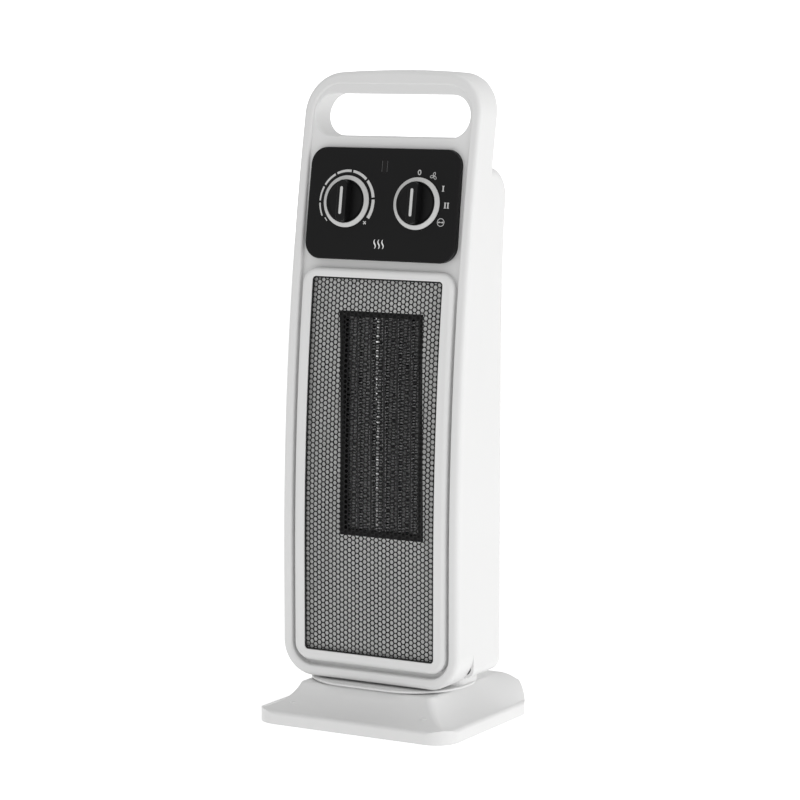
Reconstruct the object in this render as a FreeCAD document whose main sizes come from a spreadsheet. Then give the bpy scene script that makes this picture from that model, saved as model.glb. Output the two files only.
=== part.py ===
"""Oscillating ceramic tower heater, modelled as the pieces it comes apart into.

Millimetres. The origin is the centre of the base's underside, on the floor. The front faces -Y, +X is the
viewer's right and +Z is up. Every size that drives the model is a cell of the sheet; a Dim carries a
number together with the sheet formula behind it, so each feature is bound to the cells it comes from.
"""
import FreeCAD, Part
import math
import os
import Sketcher

Vector = FreeCAD.Vector
doc = FreeCAD.newDocument("CeramicHeater")

# --- driving dimensions ---------------------------------------------------------------------------------

SIZES = {
    # front curve: upright up to bend_start, then one large arc that leans back
    "face_y": -40.0,
    "bend_start": 130.0,
    "front_radius": 1820.0,
    "floor_radius": 2230.0,
    # front shell
    "body_half": 80.8,
    "shell_bottom": 37.0,
    "shell_top": 522.0,
    "crown_radius": 700.0,
    "shell_corner_low": 27.0,
    "shell_corner_high": 33.0,
    "shell_depth": 26.5,
    "rim_width": 8.8,
    "recess_top": 511.0,
    "recess_corner": 24.0,
    "recess_depth": 8.0,
    "wall": 2.5,
    "edge_round": 4.0,
    "rim_round": 2.0,
    "slot_half": 70.5,
    "slot_low": 469.6,
    "slot_high": 503.1,
    "slot_round": 2.5,
    "slot_front_round": 1.0,
    # control panel
    "panel_half": 68.0,
    "panel_low": 373.0,
    "panel_high": 461.0,
    "panel_corner": 13.5,
    "panel_proud": 1.7,
    "panel_round": 0.9,
    "lens_low": 441.5,
    "lens_high": 452.5,
    "lens_half": 3.0,
    # knobs
    "knob_x": 32.0,
    "knob_lean": 9.118,
    "knob_radius": 17.3,
    "ring_radius": 20.6,
    "knob_gap": 0.5,
    "blade_width": 8.6,
    "blade_half": 16.4,
    "blade_top": 9.6,
    "pointer_half": 11.0,
    "pointer_width": 2.4,
    "spindle": 3.0,
    # bezel, guard, duct
    "bezel_half": 69.5,
    "bezel_low": 50.0,
    "bezel_high": 366.0,
    "bezel_corner": 14.0,
    "bezel_proud": 1.2,
    "bezel_round": 4.0,
    "opening_half": 59.3,
    "opening_low": 59.0,
    "opening_high": 359.0,
    "opening_corner": 3.0,
    "guard_offset": -0.2,
    "guard_thick": 0.8,
    "guard_margin": 3.2,
    "duct_wall": 2.0,
    # heater element
    "element_y": -20.0,
    "element_depth": 12.0,
    "element_half": 38.5,
    "element_low": 151.0,
    "element_high": 332.0,
    "frame_border": 4.5,
    "frame_lip": 4.5,
    "frame_back_lip": 1.0,
    "frame_width": 7.5,
    "column_count": 6.0,
    "bar_width": 2.4,
    "fin_pitch": 2.6,
    "foil": 0.3,
    # rear shell
    "rear_y": 36.0,
    "rear_bottom": 44.0,
    "rear_top": 447.0,
    "lean_start": 305.0,
    "lean_radius": 950.0,
    "rear_corner_high": 24.0,
    "rear_corner_low": 10.0,
    "rear_corner_side": 8.0,
    "louvre_low": 150.0,
    "louvre_pitch": 6.0,
    "louvre_gap": 2.8,
    "louvre_rows": 32.0,
    "louvre_half": 17.0,
    "louvre_spacing": 40.0,
    # base
    "base_half_x": 89.4,
    "base_half_y": 73.0,
    "base_corner": 20.0,
    "base_lift": 2.0,
    "rim_top": 13.0,
    "rim_inset": 3.0,
    "plateau_z": 33.0,
    "plateau_half_x": 61.0,
    "plateau_half_y": 46.0,
    "cove_sag": 4.0,
    "rear_bulge": 5.0,
    "rear_round": 8.0,
    "base_wall": 2.5,
    "plate_thick": 2.4,
    # swivel
    "skirt_half_x": 68.0,
    "skirt_half_y": 49.0,
    "skirt_bottom": 34.0,
    "skirt_gap": 0.2,
    "skirt_thick": 1.6,
    "post_radius": 22.0,
    "post_bore": 14.0,
    "post_bottom": 23.8,
    "boss_radius": 26.0,
    "retainer_radius": 27.0,
    "retainer_thick": 2.0,
    "running": 0.1,
    "arm_reach": 36.0,
    "crank_radius": 20.6,
    "roller_radius": 3.0,
    "arm_slot_half": 4.9,
    "arm_thick": 2.0,
    # blower
    "fan_y": 12.0,
    "fan_radius": 18.0,
    "fan_low": 143.0,
    "fan_high": 335.0,
    "blade_count": 24.0,
    "shaft_radius": 2.5,
    "scroll_inner": 19.3,
    "scroll_low": 138.0,
    "scroll_high": 338.0,
    "sheet_thick": 1.0,
    "plate_gauge": 2.0,
    "stack_low": 108.0,
    "stack_high": 124.0,
    # tip-over switch
    "tilt_x": -52.0,
    "tilt_y": -34.0,
    "plunger_radius": 4.0,
}

sheet = doc.addObject("Spreadsheet::Sheet", "Sizes")
for row, (alias, number) in enumerate(SIZES.items(), start=1):
    sheet.set(f"A{row}", alias)
    sheet.set(f"B{row}", str(number))
    sheet.setAlias(f"B{row}", alias)
doc.recompute()


class Dim:
    """A number together with the sheet formula that it comes from."""

    def __init__(self, number, formula):
        self.number = number
        self.formula = formula

    def __add__(self, other):
        other = as_dim(other)
        return Dim(self.number + other.number, f"({self.formula} + {other.formula})")

    def __sub__(self, other):
        other = as_dim(other)
        return Dim(self.number - other.number, f"({self.formula} - {other.formula})")

    def __mul__(self, other):
        other = as_dim(other)
        return Dim(self.number * other.number, f"({self.formula} * {other.formula})")

    def __truediv__(self, other):
        other = as_dim(other)
        return Dim(self.number / other.number, f"({self.formula} / {other.formula})")

    def __neg__(self):
        return Dim(-self.number, f"(0 - {self.formula})")

    def __radd__(self, other):
        return as_dim(other) + self

    def __rsub__(self, other):
        return as_dim(other) - self

    def __rmul__(self, other):
        return as_dim(other) * self


def as_dim(item):
    """A Dim as it is, or a plain number as a Dim."""
    return item if isinstance(item, Dim) else Dim(float(item), f"({float(item)})")


def size(alias):
    """The driving dimension that a sheet cell holds."""
    return Dim(sheet.get(alias), f"Sizes.{alias}")


def root(item):
    return Dim(math.sqrt(item.number), f"sqrt({item.formula})")


def sine(item):
    return Dim(math.sin(math.radians(item.number)), f"sin({item.formula})")


def cosine(item):
    return Dim(math.cos(math.radians(item.number)), f"cos({item.formula})")


# --- sketches and features ------------------------------------------------------------------------------

def bind(thing, path, item):
    """Sets a property such as Length or Placement.Base.x from a Dim, by its formula."""
    thing.setExpression(path, as_dim(item).formula)


def new_body(name):
    return doc.addObject("PartDesign::Body", name)


def new_sketch(body, plane, lift=0):
    """A sketch on one of the body's origin planes, lifted along the plane's normal."""
    sketch = body.newObject("Sketcher::SketchObject", body.Name + "_sketch")
    origin_plane = next(item for item in body.Origin.OriginFeatures if item.Role == plane)
    sketch.AttachmentSupport = [(origin_plane, "")]
    sketch.MapMode = "FlatFace"
    bind(sketch, "AttachmentOffset.Base.z", lift)
    return sketch


def fix(sketch, kind, place, item):
    """Adds a dimension constraint bound to a formula."""
    item = as_dim(item)
    index = sketch.addConstraint(Sketcher.Constraint(kind, *place, item.number))
    sketch.setExpression(f"Constraints[{index}]", item.formula)


def outline(sketch, corners):
    """A closed outline. Each corner is (x, y) or (x, y, radius of the arc to the next corner).

    A positive radius turns left on its way round and a negative one turns right.
    """
    first = sketch.GeometryCount
    count = len(corners)
    points = [Vector(as_dim(corner[0]).number, as_dim(corner[1]).number, 0) for corner in corners]
    starts = []
    for index, corner in enumerate(corners):
        here = points[index]
        there = points[(index + 1) % count]
        if len(corner) == 2:
            sketch.addGeometry(Part.LineSegment(here, there), False)
            starts.append(1)
            continue
        radius = as_dim(corner[2]).number
        chord = there - here
        to_left = Vector(-chord.y, chord.x, 0).normalize()
        reach = math.sqrt(max(radius ** 2 - chord.Length ** 2 / 4, 0.0))
        centre = (here + there) * 0.5 + to_left * (math.copysign(reach, radius))
        ends = (here, there) if radius > 0 else (there, here)
        angles = [math.atan2(end.y - centre.y, end.x - centre.x) for end in ends]
        if angles[1] < angles[0]:
            angles[1] += 2 * math.pi
        circle = Part.Circle(centre, Vector(0, 0, 1), abs(radius))
        sketch.addGeometry(Part.ArcOfCircle(circle, angles[0], angles[1]), False)
        starts.append(1 if radius > 0 else 2)
    for index in range(count):
        after = (index + 1) % count
        end = 3 - starts[index]
        sketch.addConstraint(Sketcher.Constraint("Coincident", first + index, end, first + after, starts[after]))
    for index, corner in enumerate(corners):
        place = (-1, 1, first + index, starts[index])
        fix(sketch, "DistanceX", place, corner[0])
        fix(sketch, "DistanceY", place, corner[1])
        if len(corner) == 3:
            radius = as_dim(corner[2])
            fix(sketch, "Radius", (first + index,), radius if radius.number > 0 else -radius)


def circle(sketch, x, y, radius):
    index = sketch.GeometryCount
    centre = Vector(as_dim(x).number, as_dim(y).number, 0)
    sketch.addGeometry(Part.Circle(centre, Vector(0, 0, 1), as_dim(radius).number), False)
    fix(sketch, "DistanceX", (-1, 1, index, 3), x)
    fix(sketch, "DistanceY", (-1, 1, index, 3), y)
    fix(sketch, "Radius", (index,), radius)


def rounded(x_low, x_high, y_low, y_high, corner_low, corner_high=None):
    """Corners of a rectangle whose lower and upper corners are rounded."""
    corner_high = corner_low if corner_high is None else corner_high
    return [
        (x_low + corner_low, y_low),
        (x_high - corner_low, y_low, corner_low),
        (x_high, y_low + corner_low),
        (x_high, y_high - corner_high, corner_high),
        (x_high - corner_high, y_high),
        (x_low + corner_high, y_high, corner_high),
        (x_low, y_high - corner_high),
        (x_low, y_low + corner_low, corner_low),
    ]


def box_corners(x_low, x_high, y_low, y_high):
    return [(x_low, y_low), (x_high, y_low), (x_high, y_high), (x_low, y_high)]


def pad(body, sketch, length, symmetric=False):
    feature = body.newObject("PartDesign::Pad", body.Name + "_pad")
    feature.Profile = sketch
    bind(feature, "Length", length)
    feature.SideType = "Symmetric" if symmetric else "One side"
    return feature


FAR = 1200.0


def trim(body, plane, corners):
    """Cuts away all of the body that lies outside an outline, seen along the plane's normal."""
    before = measure(body)
    sketch = new_sketch(body, plane)
    outline(sketch, box_corners(-FAR, FAR, -FAR, FAR))
    outline(sketch, corners)
    feature = body.newObject("PartDesign::Pocket", body.Name + "_trim")
    feature.Profile = sketch
    feature.SideType = "Symmetric"
    feature.Length = FAR
    doc.recompute()
    if not measure(body) < before:
        raise RuntimeError(f"{body.Name}: the trim removed nothing")
    return feature


def measure(body):
    doc.recompute()
    return body.Shape.Volume


def revolve(body, sketch):
    """Turns a profile in the XZ plane round the Z axis."""
    feature = body.newObject("PartDesign::Revolution", body.Name + "_turn")
    feature.Profile = sketch
    feature.ReferenceAxis = (sketch, ["V_Axis"])
    feature.Angle = 360.0
    return feature


def turned(name, corners):
    """A turned body from its half profile, given as (radius, height) corners."""
    body = new_body(name)
    sketch = new_sketch(body, "XZ_Plane")
    outline(sketch, corners)
    revolve(body, sketch)
    return body


def prism(name, plane, corners, low, length, symmetric=False):
    """A flat outline padded along the plane's normal."""
    body = new_body(name)
    sketch = new_sketch(body, plane, low)
    outline(sketch, corners)
    pad(body, sketch, length, symmetric)
    return body


def block(x_low, x_high, y_low, y_high, z_low, z_high):
    """A plain box between two corners."""
    box = doc.addObject("Part::Box", "block")
    lows = [as_dim(item) for item in (x_low, y_low, z_low)]
    highs = [as_dim(item) for item in (x_high, y_high, z_high)]
    for side, axis, low, high in zip(("Length", "Width", "Height"), "xyz", lows, highs):
        bind(box, side, high - low)
        bind(box, f"Placement.Base.{axis}", low)
    return box


TURNS = {
    "z": FreeCAD.Rotation(),
    "y": FreeCAD.Rotation(Vector(1, 0, 0), -90),
    "x": FreeCAD.Rotation(Vector(0, 1, 0), 90),
}


def rod(radius, low, high, across, axis="z"):
    """A cylinder along one axis, from low to high, at its place across the other two."""
    cylinder = doc.addObject("Part::Cylinder", "rod")
    cylinder.Placement = FreeCAD.Placement(Vector(), TURNS[axis])
    bind(cylinder, "Radius", radius)
    bind(cylinder, "Height", as_dim(high) - low)
    others = [name for name in "xyz" if name != axis]
    bind(cylinder, f"Placement.Base.{axis}", low)
    for name, place in zip(others, across):
        bind(cylinder, f"Placement.Base.{name}", place)
    return cylinder


def union(*pieces):
    if len(pieces) == 1:
        return pieces[0]
    joined = doc.addObject("Part::MultiFuse", "union")
    joined.Shapes = list(pieces)
    joined.Refine = True
    return joined


def cut(base, *tools):
    result = doc.addObject("Part::Cut", "cut")
    result.Base = base
    result.Tool = union(*tools)
    result.Refine = True
    return result


def group(*pieces):
    """Several separate solids in one node, such as a set of screws."""
    result = doc.addObject("Part::Compound", "group")
    result.Links = list(pieces)
    return result


def shaped(name, shape):
    feature = doc.addObject("Part::Feature", name)
    feature.Shape = shape
    return feature


def round_edges(thing, radius, wanted):
    """Rounds the edges that pass a test, and says so when the kernel can't."""
    doc.recompute()
    number = as_dim(radius).number
    chosen = [(index, number, number) for index, edge in enumerate(thing.Shape.Edges, start=1) if wanted(edge)]
    feature = doc.addObject("Part::Fillet", "rounded")
    feature.Base = thing
    feature.Edges = chosen
    doc.recompute()
    if "Invalid" in feature.State or feature.Shape.isNull() or not feature.Shape.isValid():
        print("rounding left out on", thing.Label, len(chosen), "edges")
        doc.removeObject(feature.Name)
        return thing
    return feature


NODES = {}


def keep(name, thing):
    """Labels a finished sub-part with the name of its node."""
    thing.Label = name
    NODES[name] = thing
    return thing


# --- the front curve ------------------------------------------------------------------------------------

def curve_y(offset, radius, height):
    """Y of a curve that lies behind the rim's face by an offset, at a height above the bend's start."""
    rise = height - size("bend_start")
    return size("face_y") + offset + radius - root(radius * radius - rise * rise)


def curved_block(name, front, back, outline_corners, low, high):
    """A slab between two curves of the front, each (offset behind the face, radius), cut to an outline.

    The outline is seen from the front, as (x, z) corners.
    """
    bend = size("bend_start")
    front_y = size("face_y") + front[0]
    back_y = size("face_y") + back[0]
    body = new_body(name)
    sketch = new_sketch(body, "YZ_Plane")
    outline(sketch, [
        (front_y, low),
        (back_y, low),
        (back_y, bend, -back[1]),
        (curve_y(back[0], back[1], high), high),
        (curve_y(front[0], front[1], high), high, front[1]),
        (front_y, bend),
    ])
    pad(body, sketch, 2.4 * size("body_half"), symmetric=True)
    trim(body, "XZ_Plane", outline_corners)
    return body


def offset_curve(depth):
    """A curve concentric with the rim's face, at a depth behind it (negative when proud)."""
    depth = as_dim(depth)
    return (depth, size("front_radius") - depth)


def concentric_block(name, front_depth, back_depth, corners):
    low = size("shell_bottom") - 5
    high = size("shell_top") + 5
    return curved_block(name, offset_curve(front_depth), offset_curve(back_depth), corners, low, high)


def window(half, low, high, corner_low, corner_high=None):
    return rounded(-half, as_dim(half), as_dim(low), as_dim(high), as_dim(corner_low), corner_high)


# --- front shell with the carrying handle ---------------------------------------------------------------

def shell_outline():
    """Front outline of the shell: straight sides, round corners and a slightly crowned top."""
    half = size("body_half")
    low = size("shell_bottom")
    top = size("shell_top")
    low_corner = size("shell_corner_low")
    corner = size("shell_corner_high")
    crown = size("crown_radius")
    shoulder = half - corner
    rise = root((crown - corner) * (crown - corner) - shoulder * shoulder)
    corner_z = top - crown + rise
    stretch = crown / (crown - corner)
    meet_x = shoulder * stretch
    meet_z = top - crown + rise * stretch
    return [
        (low_corner - half, low),
        (half - low_corner, low, low_corner),
        (half, low + low_corner),
        (half, corner_z, corner),
        (meet_x, meet_z, crown),
        (-meet_x, meet_z, corner),
        (-half, corner_z),
        (-half, low + low_corner, low_corner),
    ]


def depth_behind_face(point):
    """How far a point lies behind the rim's curved face."""
    face = size("face_y").number
    radius = size("front_radius").number
    rise = point.z - size("bend_start").number
    if rise < 0:
        return point.y - face
    return radius - math.hypot(face + radius - point.y, rise)


def middle(edge):
    return edge.valueAt((edge.FirstParameter + edge.LastParameter) / 2)


def capsule(half, low, high):
    """A slot with round ends, each made of two quarter arcs."""
    half = as_dim(half)
    radius = (as_dim(high) - low) / 2
    flat = half - radius
    level = (as_dim(high) + low) / 2
    return [(-flat, low), (flat, low, radius), (half, level, radius), (flat, high), (-flat, high, radius),
            (-half, level, radius)]


def upright_capsule(half, radius):
    """A finger blade's outline from above: a bar along Y with round ends."""
    flat = half - radius
    return [(radius, -flat), (radius, flat, radius), (0, half, radius), (-radius, flat), (-radius, -flat, radius),
            (0, -half, radius)]


BOSS_X = 70.0
LOW_BOSS = {"height": 75.0, "seam": -2.0}
HIGH_BOSS = {"height": 400.0, "seam": 16.0}
BOSSES = [(side * BOSS_X, boss) for boss in (LOW_BOSS, HIGH_BOSS) for side in (-1, 1)]
SCREW = 1.4


def make_front_shell():
    half = size("body_half")
    wall = size("wall")
    rim = size("rim_width")
    floor = (size("recess_depth"), size("floor_radius"))
    back_of_floor = size("recess_depth") + wall
    low_corner = size("shell_corner_low") - rim
    floor_low = size("shell_bottom") + rim
    recess_top = size("recess_top")
    corner = size("recess_corner")
    blank = concentric_block("front_blank", 0, size("shell_depth"), shell_outline())
    recess = curved_block(
        "front_recess", offset_curve(-8), floor,
        rounded(rim - half, half - rim, floor_low, recess_top, low_corner, corner),
        size("shell_bottom"), size("shell_top"))
    hollow_low = size("rear_bottom") + wall
    hollow_high = size("rear_top") - wall
    hollow = concentric_block("front_hollow", back_of_floor, size("shell_depth") + 2,
                              window(half - wall, hollow_low, hollow_high, 22, 8))
    slot = prism("handle_slot", "XZ_Plane", capsule(size("slot_half"), size("slot_low"), size("slot_high")),
                 0, 200, symmetric=True)
    duct_window = prism("duct_window", "XZ_Plane", window(62.6, 55.4, 362.6, 4), 0, 200, symmetric=True)
    panel_window = prism("panel_window", "XZ_Plane", window(60, 381, hollow_high, 6), 0, 200, symmetric=True)
    lamp_pocket = concentric_block("lamp_pocket", -1, 16, window(6, size("lens_low") - 2, 456, 2))
    bosses = []
    bores = []
    for x, boss in BOSSES:
        start = curve_y(back_of_floor - 1, size("front_radius") - back_of_floor + 1, as_dim(boss["height"]))
        bosses.append(rod(4, start, boss["seam"], (x, boss["height"]), "y"))
        bores.append(rod(SCREW, start + 3, boss["seam"] + 1, (x, boss["height"]), "y"))
    hollowed = cut(blank, recess, hollow, slot, duct_window, panel_window, lamp_pocket)
    shell = cut(union(hollowed, *bosses), *bores)
    slot_low = size("slot_low").number
    slot_high = size("slot_high").number
    recess_half = (half - rim).number
    back_depth = size("shell_depth").number

    def on_face(edge):
        return abs(depth_behind_face(middle(edge))) < 0.02

    def inner_edge(edge):
        box = edge.BoundBox
        across = max(-box.XMin, box.XMax) < recess_half + 0.1
        return across and box.ZMin > floor_low.number - 0.1 and box.ZMax < recess_top.number + 0.1

    def slot_edge(edge):
        box = edge.BoundBox
        in_slot = box.ZMin > slot_low - 0.1 and box.ZMax < slot_high + 0.1
        return in_slot and box.YLength < 12 and abs(middle(edge).x) < size("slot_half").number + 0.1

    def rear_slot_edge(edge):
        return slot_edge(edge) and abs(depth_behind_face(middle(edge)) - back_depth) < 0.1

    def front_slot_edge(edge):
        return slot_edge(edge) and depth_behind_face(middle(edge)) < 5

    shell = round_edges(shell, size("edge_round"), lambda edge: on_face(edge) and not inner_edge(edge))
    shell = round_edges(shell, size("rim_round"), lambda edge: on_face(edge) and inner_edge(edge))
    shell = round_edges(shell, size("slot_round"), rear_slot_edge)
    shell = round_edges(shell, size("slot_front_round"), front_slot_edge)
    keep("front_shell", shell)


# --- control panel, lens and lamp -----------------------------------------------------------------------

def seat_on_panel(thing, x):
    """Stands a piece that was modelled upright on the panel's face, its Z along the face's normal."""
    if thing.TypeId in ("Part::Box", "Part::Cylinder"):
        thing = group(thing)
    lean = size("knob_lean")
    reach = size("front_radius") + size("panel_proud")
    thing.Placement = FreeCAD.Placement(Vector(), FreeCAD.Rotation(Vector(1, 0, 0), 90))
    bind(thing, "Placement.Base.x", x)
    bind(thing, "Placement.Base.y", size("face_y") + size("front_radius") - reach * cosine(lean))
    bind(thing, "Placement.Base.z", size("bend_start") + reach * sine(lean))
    bind(thing, "Placement.Rotation.Angle", 90 - lean)
    return thing


def make_panel():
    wall = size("wall")
    half = size("panel_half")
    low = size("panel_low")
    high = size("panel_high")
    corner = size("panel_corner")
    proud = size("panel_proud")
    floor = (size("recess_depth"), size("floor_radius"))
    behind_floor = (size("recess_depth") + 3, size("floor_radius"))
    top = size("shell_top")
    blank = curved_block("panel_blank", offset_curve(-proud), floor, window(half, low, high, corner),
                         size("shell_bottom"), top)
    hollow = curved_block("panel_hollow", offset_curve(wall - proud), behind_floor,
                          window(half - wall, low + wall, high - wall, corner - wall),
                          size("shell_bottom"), top)
    lens_slot = prism("lens_slot", "XZ_Plane", window(size("lens_half"), size("lens_low"), size("lens_high"), 1),
                      0, 200, symmetric=True)
    holes = []
    for side in (-1, 1):
        holes.append(seat_on_panel(rod(size("spindle") + 1.4, -8, 4, (0, 0)), side * size("knob_x")))
    panel = cut(blank, hollow, lens_slot, *holes)
    face_edge = -proud.number
    inner = half.number - 6

    def outer_edge(edge):
        spot = middle(edge)
        near_outline = abs(spot.x) > inner or not low.number + 3 < spot.z < high.number - 3
        return near_outline and abs(depth_behind_face(spot) - face_edge) < 0.02

    keep("control_panel", round_edges(panel, size("panel_round"), outer_edge))
    inset = 0.05
    keep("pilot_lens", concentric_block(
        "lens", 0.25 - proud, wall - proud,
        window(size("lens_half") - inset, size("lens_low") + inset, size("lens_high") - inset, 0.95)))
    lamp_z = (size("lens_low") + size("lens_high")) / 2
    lamp_y = curve_y(1.6, size("front_radius") - 1.6, lamp_z)
    keep("pilot_lamp", rod(2, lamp_y, lamp_y + 10, (0, lamp_z), "y"))


# --- knobs and the controls behind them -----------------------------------------------------------------

def make_knob(prefix, side):
    """One rotary knob: black body with a finger blade, silver ring, pale pointer and metal spindle."""
    x = side * size("knob_x")
    gap = size("knob_gap")
    radius = size("knob_radius")
    rim_top = gap + 2.2
    floor = gap + 1.2
    dish = turned(prefix + "_dish", [
        (0, gap), (radius, gap), (radius, rim_top), (radius - 0.8, rim_top), (radius - 2.4, floor), (0, floor)])
    half = size("blade_half")
    width = size("blade_width")
    top = size("blade_top")
    nose = width / 2
    seat = top - 0.8
    blade = prism(prefix + "_blade", "XY_Plane", upright_capsule(half, nose), gap + 0.6, top - gap - 0.6)
    socket = rod(size("spindle"), gap - 1, 7, (0, 0))
    line = upright_capsule(size("pointer_half"), size("pointer_width") / 2)
    pointer_seat = prism(prefix + "_seat", "XY_Plane", line, seat, 2)
    body = cut(union(dish, blade), socket, pointer_seat)

    def blade_top_edge(edge):
        box = edge.BoundBox
        on_side = max(abs(box.XMin), abs(box.XMax)) > nose.number - 0.1
        return box.ZMin > top.number - 0.05 and on_side

    knob = round_edges(body, 0.9, blade_top_edge)
    keep(prefix + "_knob", seat_on_panel(knob, x))
    outer = size("ring_radius")
    ring = turned(prefix + "_ring_body", [
        (radius, gap), (outer, gap), (outer, gap + 0.7), (radius + 0.5, rim_top + 0.2), (radius, rim_top + 0.2)])
    keep(prefix + "_ring", seat_on_panel(ring, x))
    pointer = prism(prefix + "_line", "XY_Plane", line, seat, 0.95)
    keep(prefix + "_pointer", seat_on_panel(pointer, x))
    spindle = rod(size("spindle"), -15, 7, (0, 0))
    keep(prefix + "_shaft", seat_on_panel(spindle, x))


def make_controls():
    bore = size("spindle") + size("running")
    back_of_wall = -size("wall") - 0.1
    x = size("knob_x")
    can = rod(12.5, -22, -5, (0, 0))
    plate = block(-15, 15, -10, 10, back_of_wall - 1.5, back_of_wall)
    neck = rod(5.5, -6, back_of_wall - 1, (0, 0))
    tabs = [block(place, place + 5, -0.4, 0.4, -29, -21) for place in (-9, 4)]
    thermostat = cut(union(can, plate, neck, *tabs), rod(bore, -15.4, 2, (0, 0)))
    keep("thermostat_unit", seat_on_panel(thermostat, -x))
    case = block(-13, 13, -13, 13, -24, -5)
    collar = rod(6, -6, back_of_wall - 1, (0, 0))
    plate = block(-15, 15, -13, 13, back_of_wall - 1.5, back_of_wall)
    tabs = [block(place, place + 5, -0.4, 0.4, -31, -23) for place in (-11, -3, 5)]
    switch = cut(union(case, plate, collar, *tabs), rod(bore, -15.4, 2, (0, 0)))
    keep("mode_switch", seat_on_panel(switch, x))


# --- outlet: bezel, guard and duct ----------------------------------------------------------------------

def make_outlet():
    proud = size("bezel_proud")
    half = size("bezel_half")
    low = size("bezel_low")
    high = size("bezel_high")
    opening = size("opening_half")
    opening_low = size("opening_low")
    opening_high = size("opening_high")
    corner = size("opening_corner")
    margin = size("guard_margin")
    guard_front = size("guard_offset")
    floor = (size("recess_depth"), size("floor_radius"))
    behind_floor = (size("recess_depth") + 3, size("floor_radius"))
    top = size("shell_top")
    blank = curved_block("bezel_blank", offset_curve(-proud), floor,
                         window(half, low, high, size("bezel_corner")), size("shell_bottom"), top)
    hole = prism("bezel_hole", "XZ_Plane", window(opening, opening_low, opening_high, corner), 0, 200,
                 symmetric=True)
    rebate = curved_block("bezel_rebate", offset_curve(guard_front), behind_floor,
                          window(opening + margin + 0.3, opening_low - margin - 0.3,
                                 opening_high + margin + 0.3, corner),
                          size("shell_bottom"), top)
    bezel = cut(blank, hole, rebate)
    face_edge = -proud.number

    def outer_edge(edge):
        spot = middle(edge)
        near = abs(spot.x) > opening.number + 2 or not (opening_low - 2).number < spot.z < (opening_high + 2).number
        return near and abs(depth_behind_face(spot) - face_edge) < 0.02

    def mouth_edge(edge):
        return not outer_edge(edge) and abs(depth_behind_face(middle(edge)) - face_edge) < 0.02

    bezel = round_edges(bezel, size("bezel_round"), outer_edge)
    keep("grille_bezel", round_edges(bezel, 0.6, mouth_edge))
    keep("front_grille", concentric_block(
        "guard", guard_front, guard_front + size("guard_thick"),
        window(opening + margin, opening_low - margin, opening_high + margin, corner)))
    keep("outlet_duct", shaped("duct", funnel(size("duct_wall").number, 0.0).cut(funnel(0.0, 0.1))))


def funnel(grow, overshoot):
    """The space inside the outlet duct, grown all round: a curved mouth that narrows to the element.

    Both ends can overshoot by a share of the length, so that a cutting tool passes right through.
    """
    depth = size("guard_offset").number + size("guard_thick").number + 1.8
    mouth_half = size("opening_half").number + grow + 0.9
    mouth_low = size("opening_low").number - grow - 0.9
    mouth_high = size("opening_high").number + grow + 0.9
    throat_y = size("element_y").number
    throat_half = size("element_half").number + grow
    throat_low = size("element_low").number - grow
    throat_high = size("element_high").number + grow

    def mouth_point(side, share):
        z = mouth_low + (mouth_high - mouth_low) * share
        y = size("face_y").number + depth
        if z > size("bend_start").number:
            y = curve_y(as_dim(depth), size("front_radius") - depth, as_dim(z)).number
        return Vector(side * mouth_half, y, z)

    def throat_point(side, share):
        return Vector(side * throat_half, throat_y, throat_low + (throat_high - throat_low) * share)

    def mouth(side, share):
        here = mouth_point(side, share)
        return here + (here - throat_point(side, share)) * overshoot

    def throat(side, share):
        here = throat_point(side, share)
        return here + (here - mouth_point(side, share)) * overshoot

    def mouth_side(side):
        return Part.Arc(mouth(side, 0.0), mouth(side, 0.5), mouth(side, 1.0)).toShape()

    def throat_side(side):
        return Part.makeLine(throat(side, 0.0), throat(side, 1.0))

    def flat(*points):
        return Part.Face(Part.makePolygon([*points, points[0]]))

    faces = [
        Part.makeRuledSurface(mouth_side(-1), throat_side(-1)),
        Part.makeRuledSurface(mouth_side(1), throat_side(1)),
        Part.makeRuledSurface(mouth_side(-1), mouth_side(1)),
        flat(throat(-1, 0.0), throat(1, 0.0), throat(1, 1.0), throat(-1, 1.0)),
    ]
    for share in (0.0, 1.0):
        faces.append(flat(mouth(-1, share), mouth(1, share), throat(1, share), throat(-1, share)))
    shell = Part.makeShell(faces)
    shell.sewShape()
    solid = Part.makeSolid(shell)
    if solid.Volume < 0:
        solid.reverse()
    return solid


# --- heater element -------------------------------------------------------------------------------------

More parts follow.
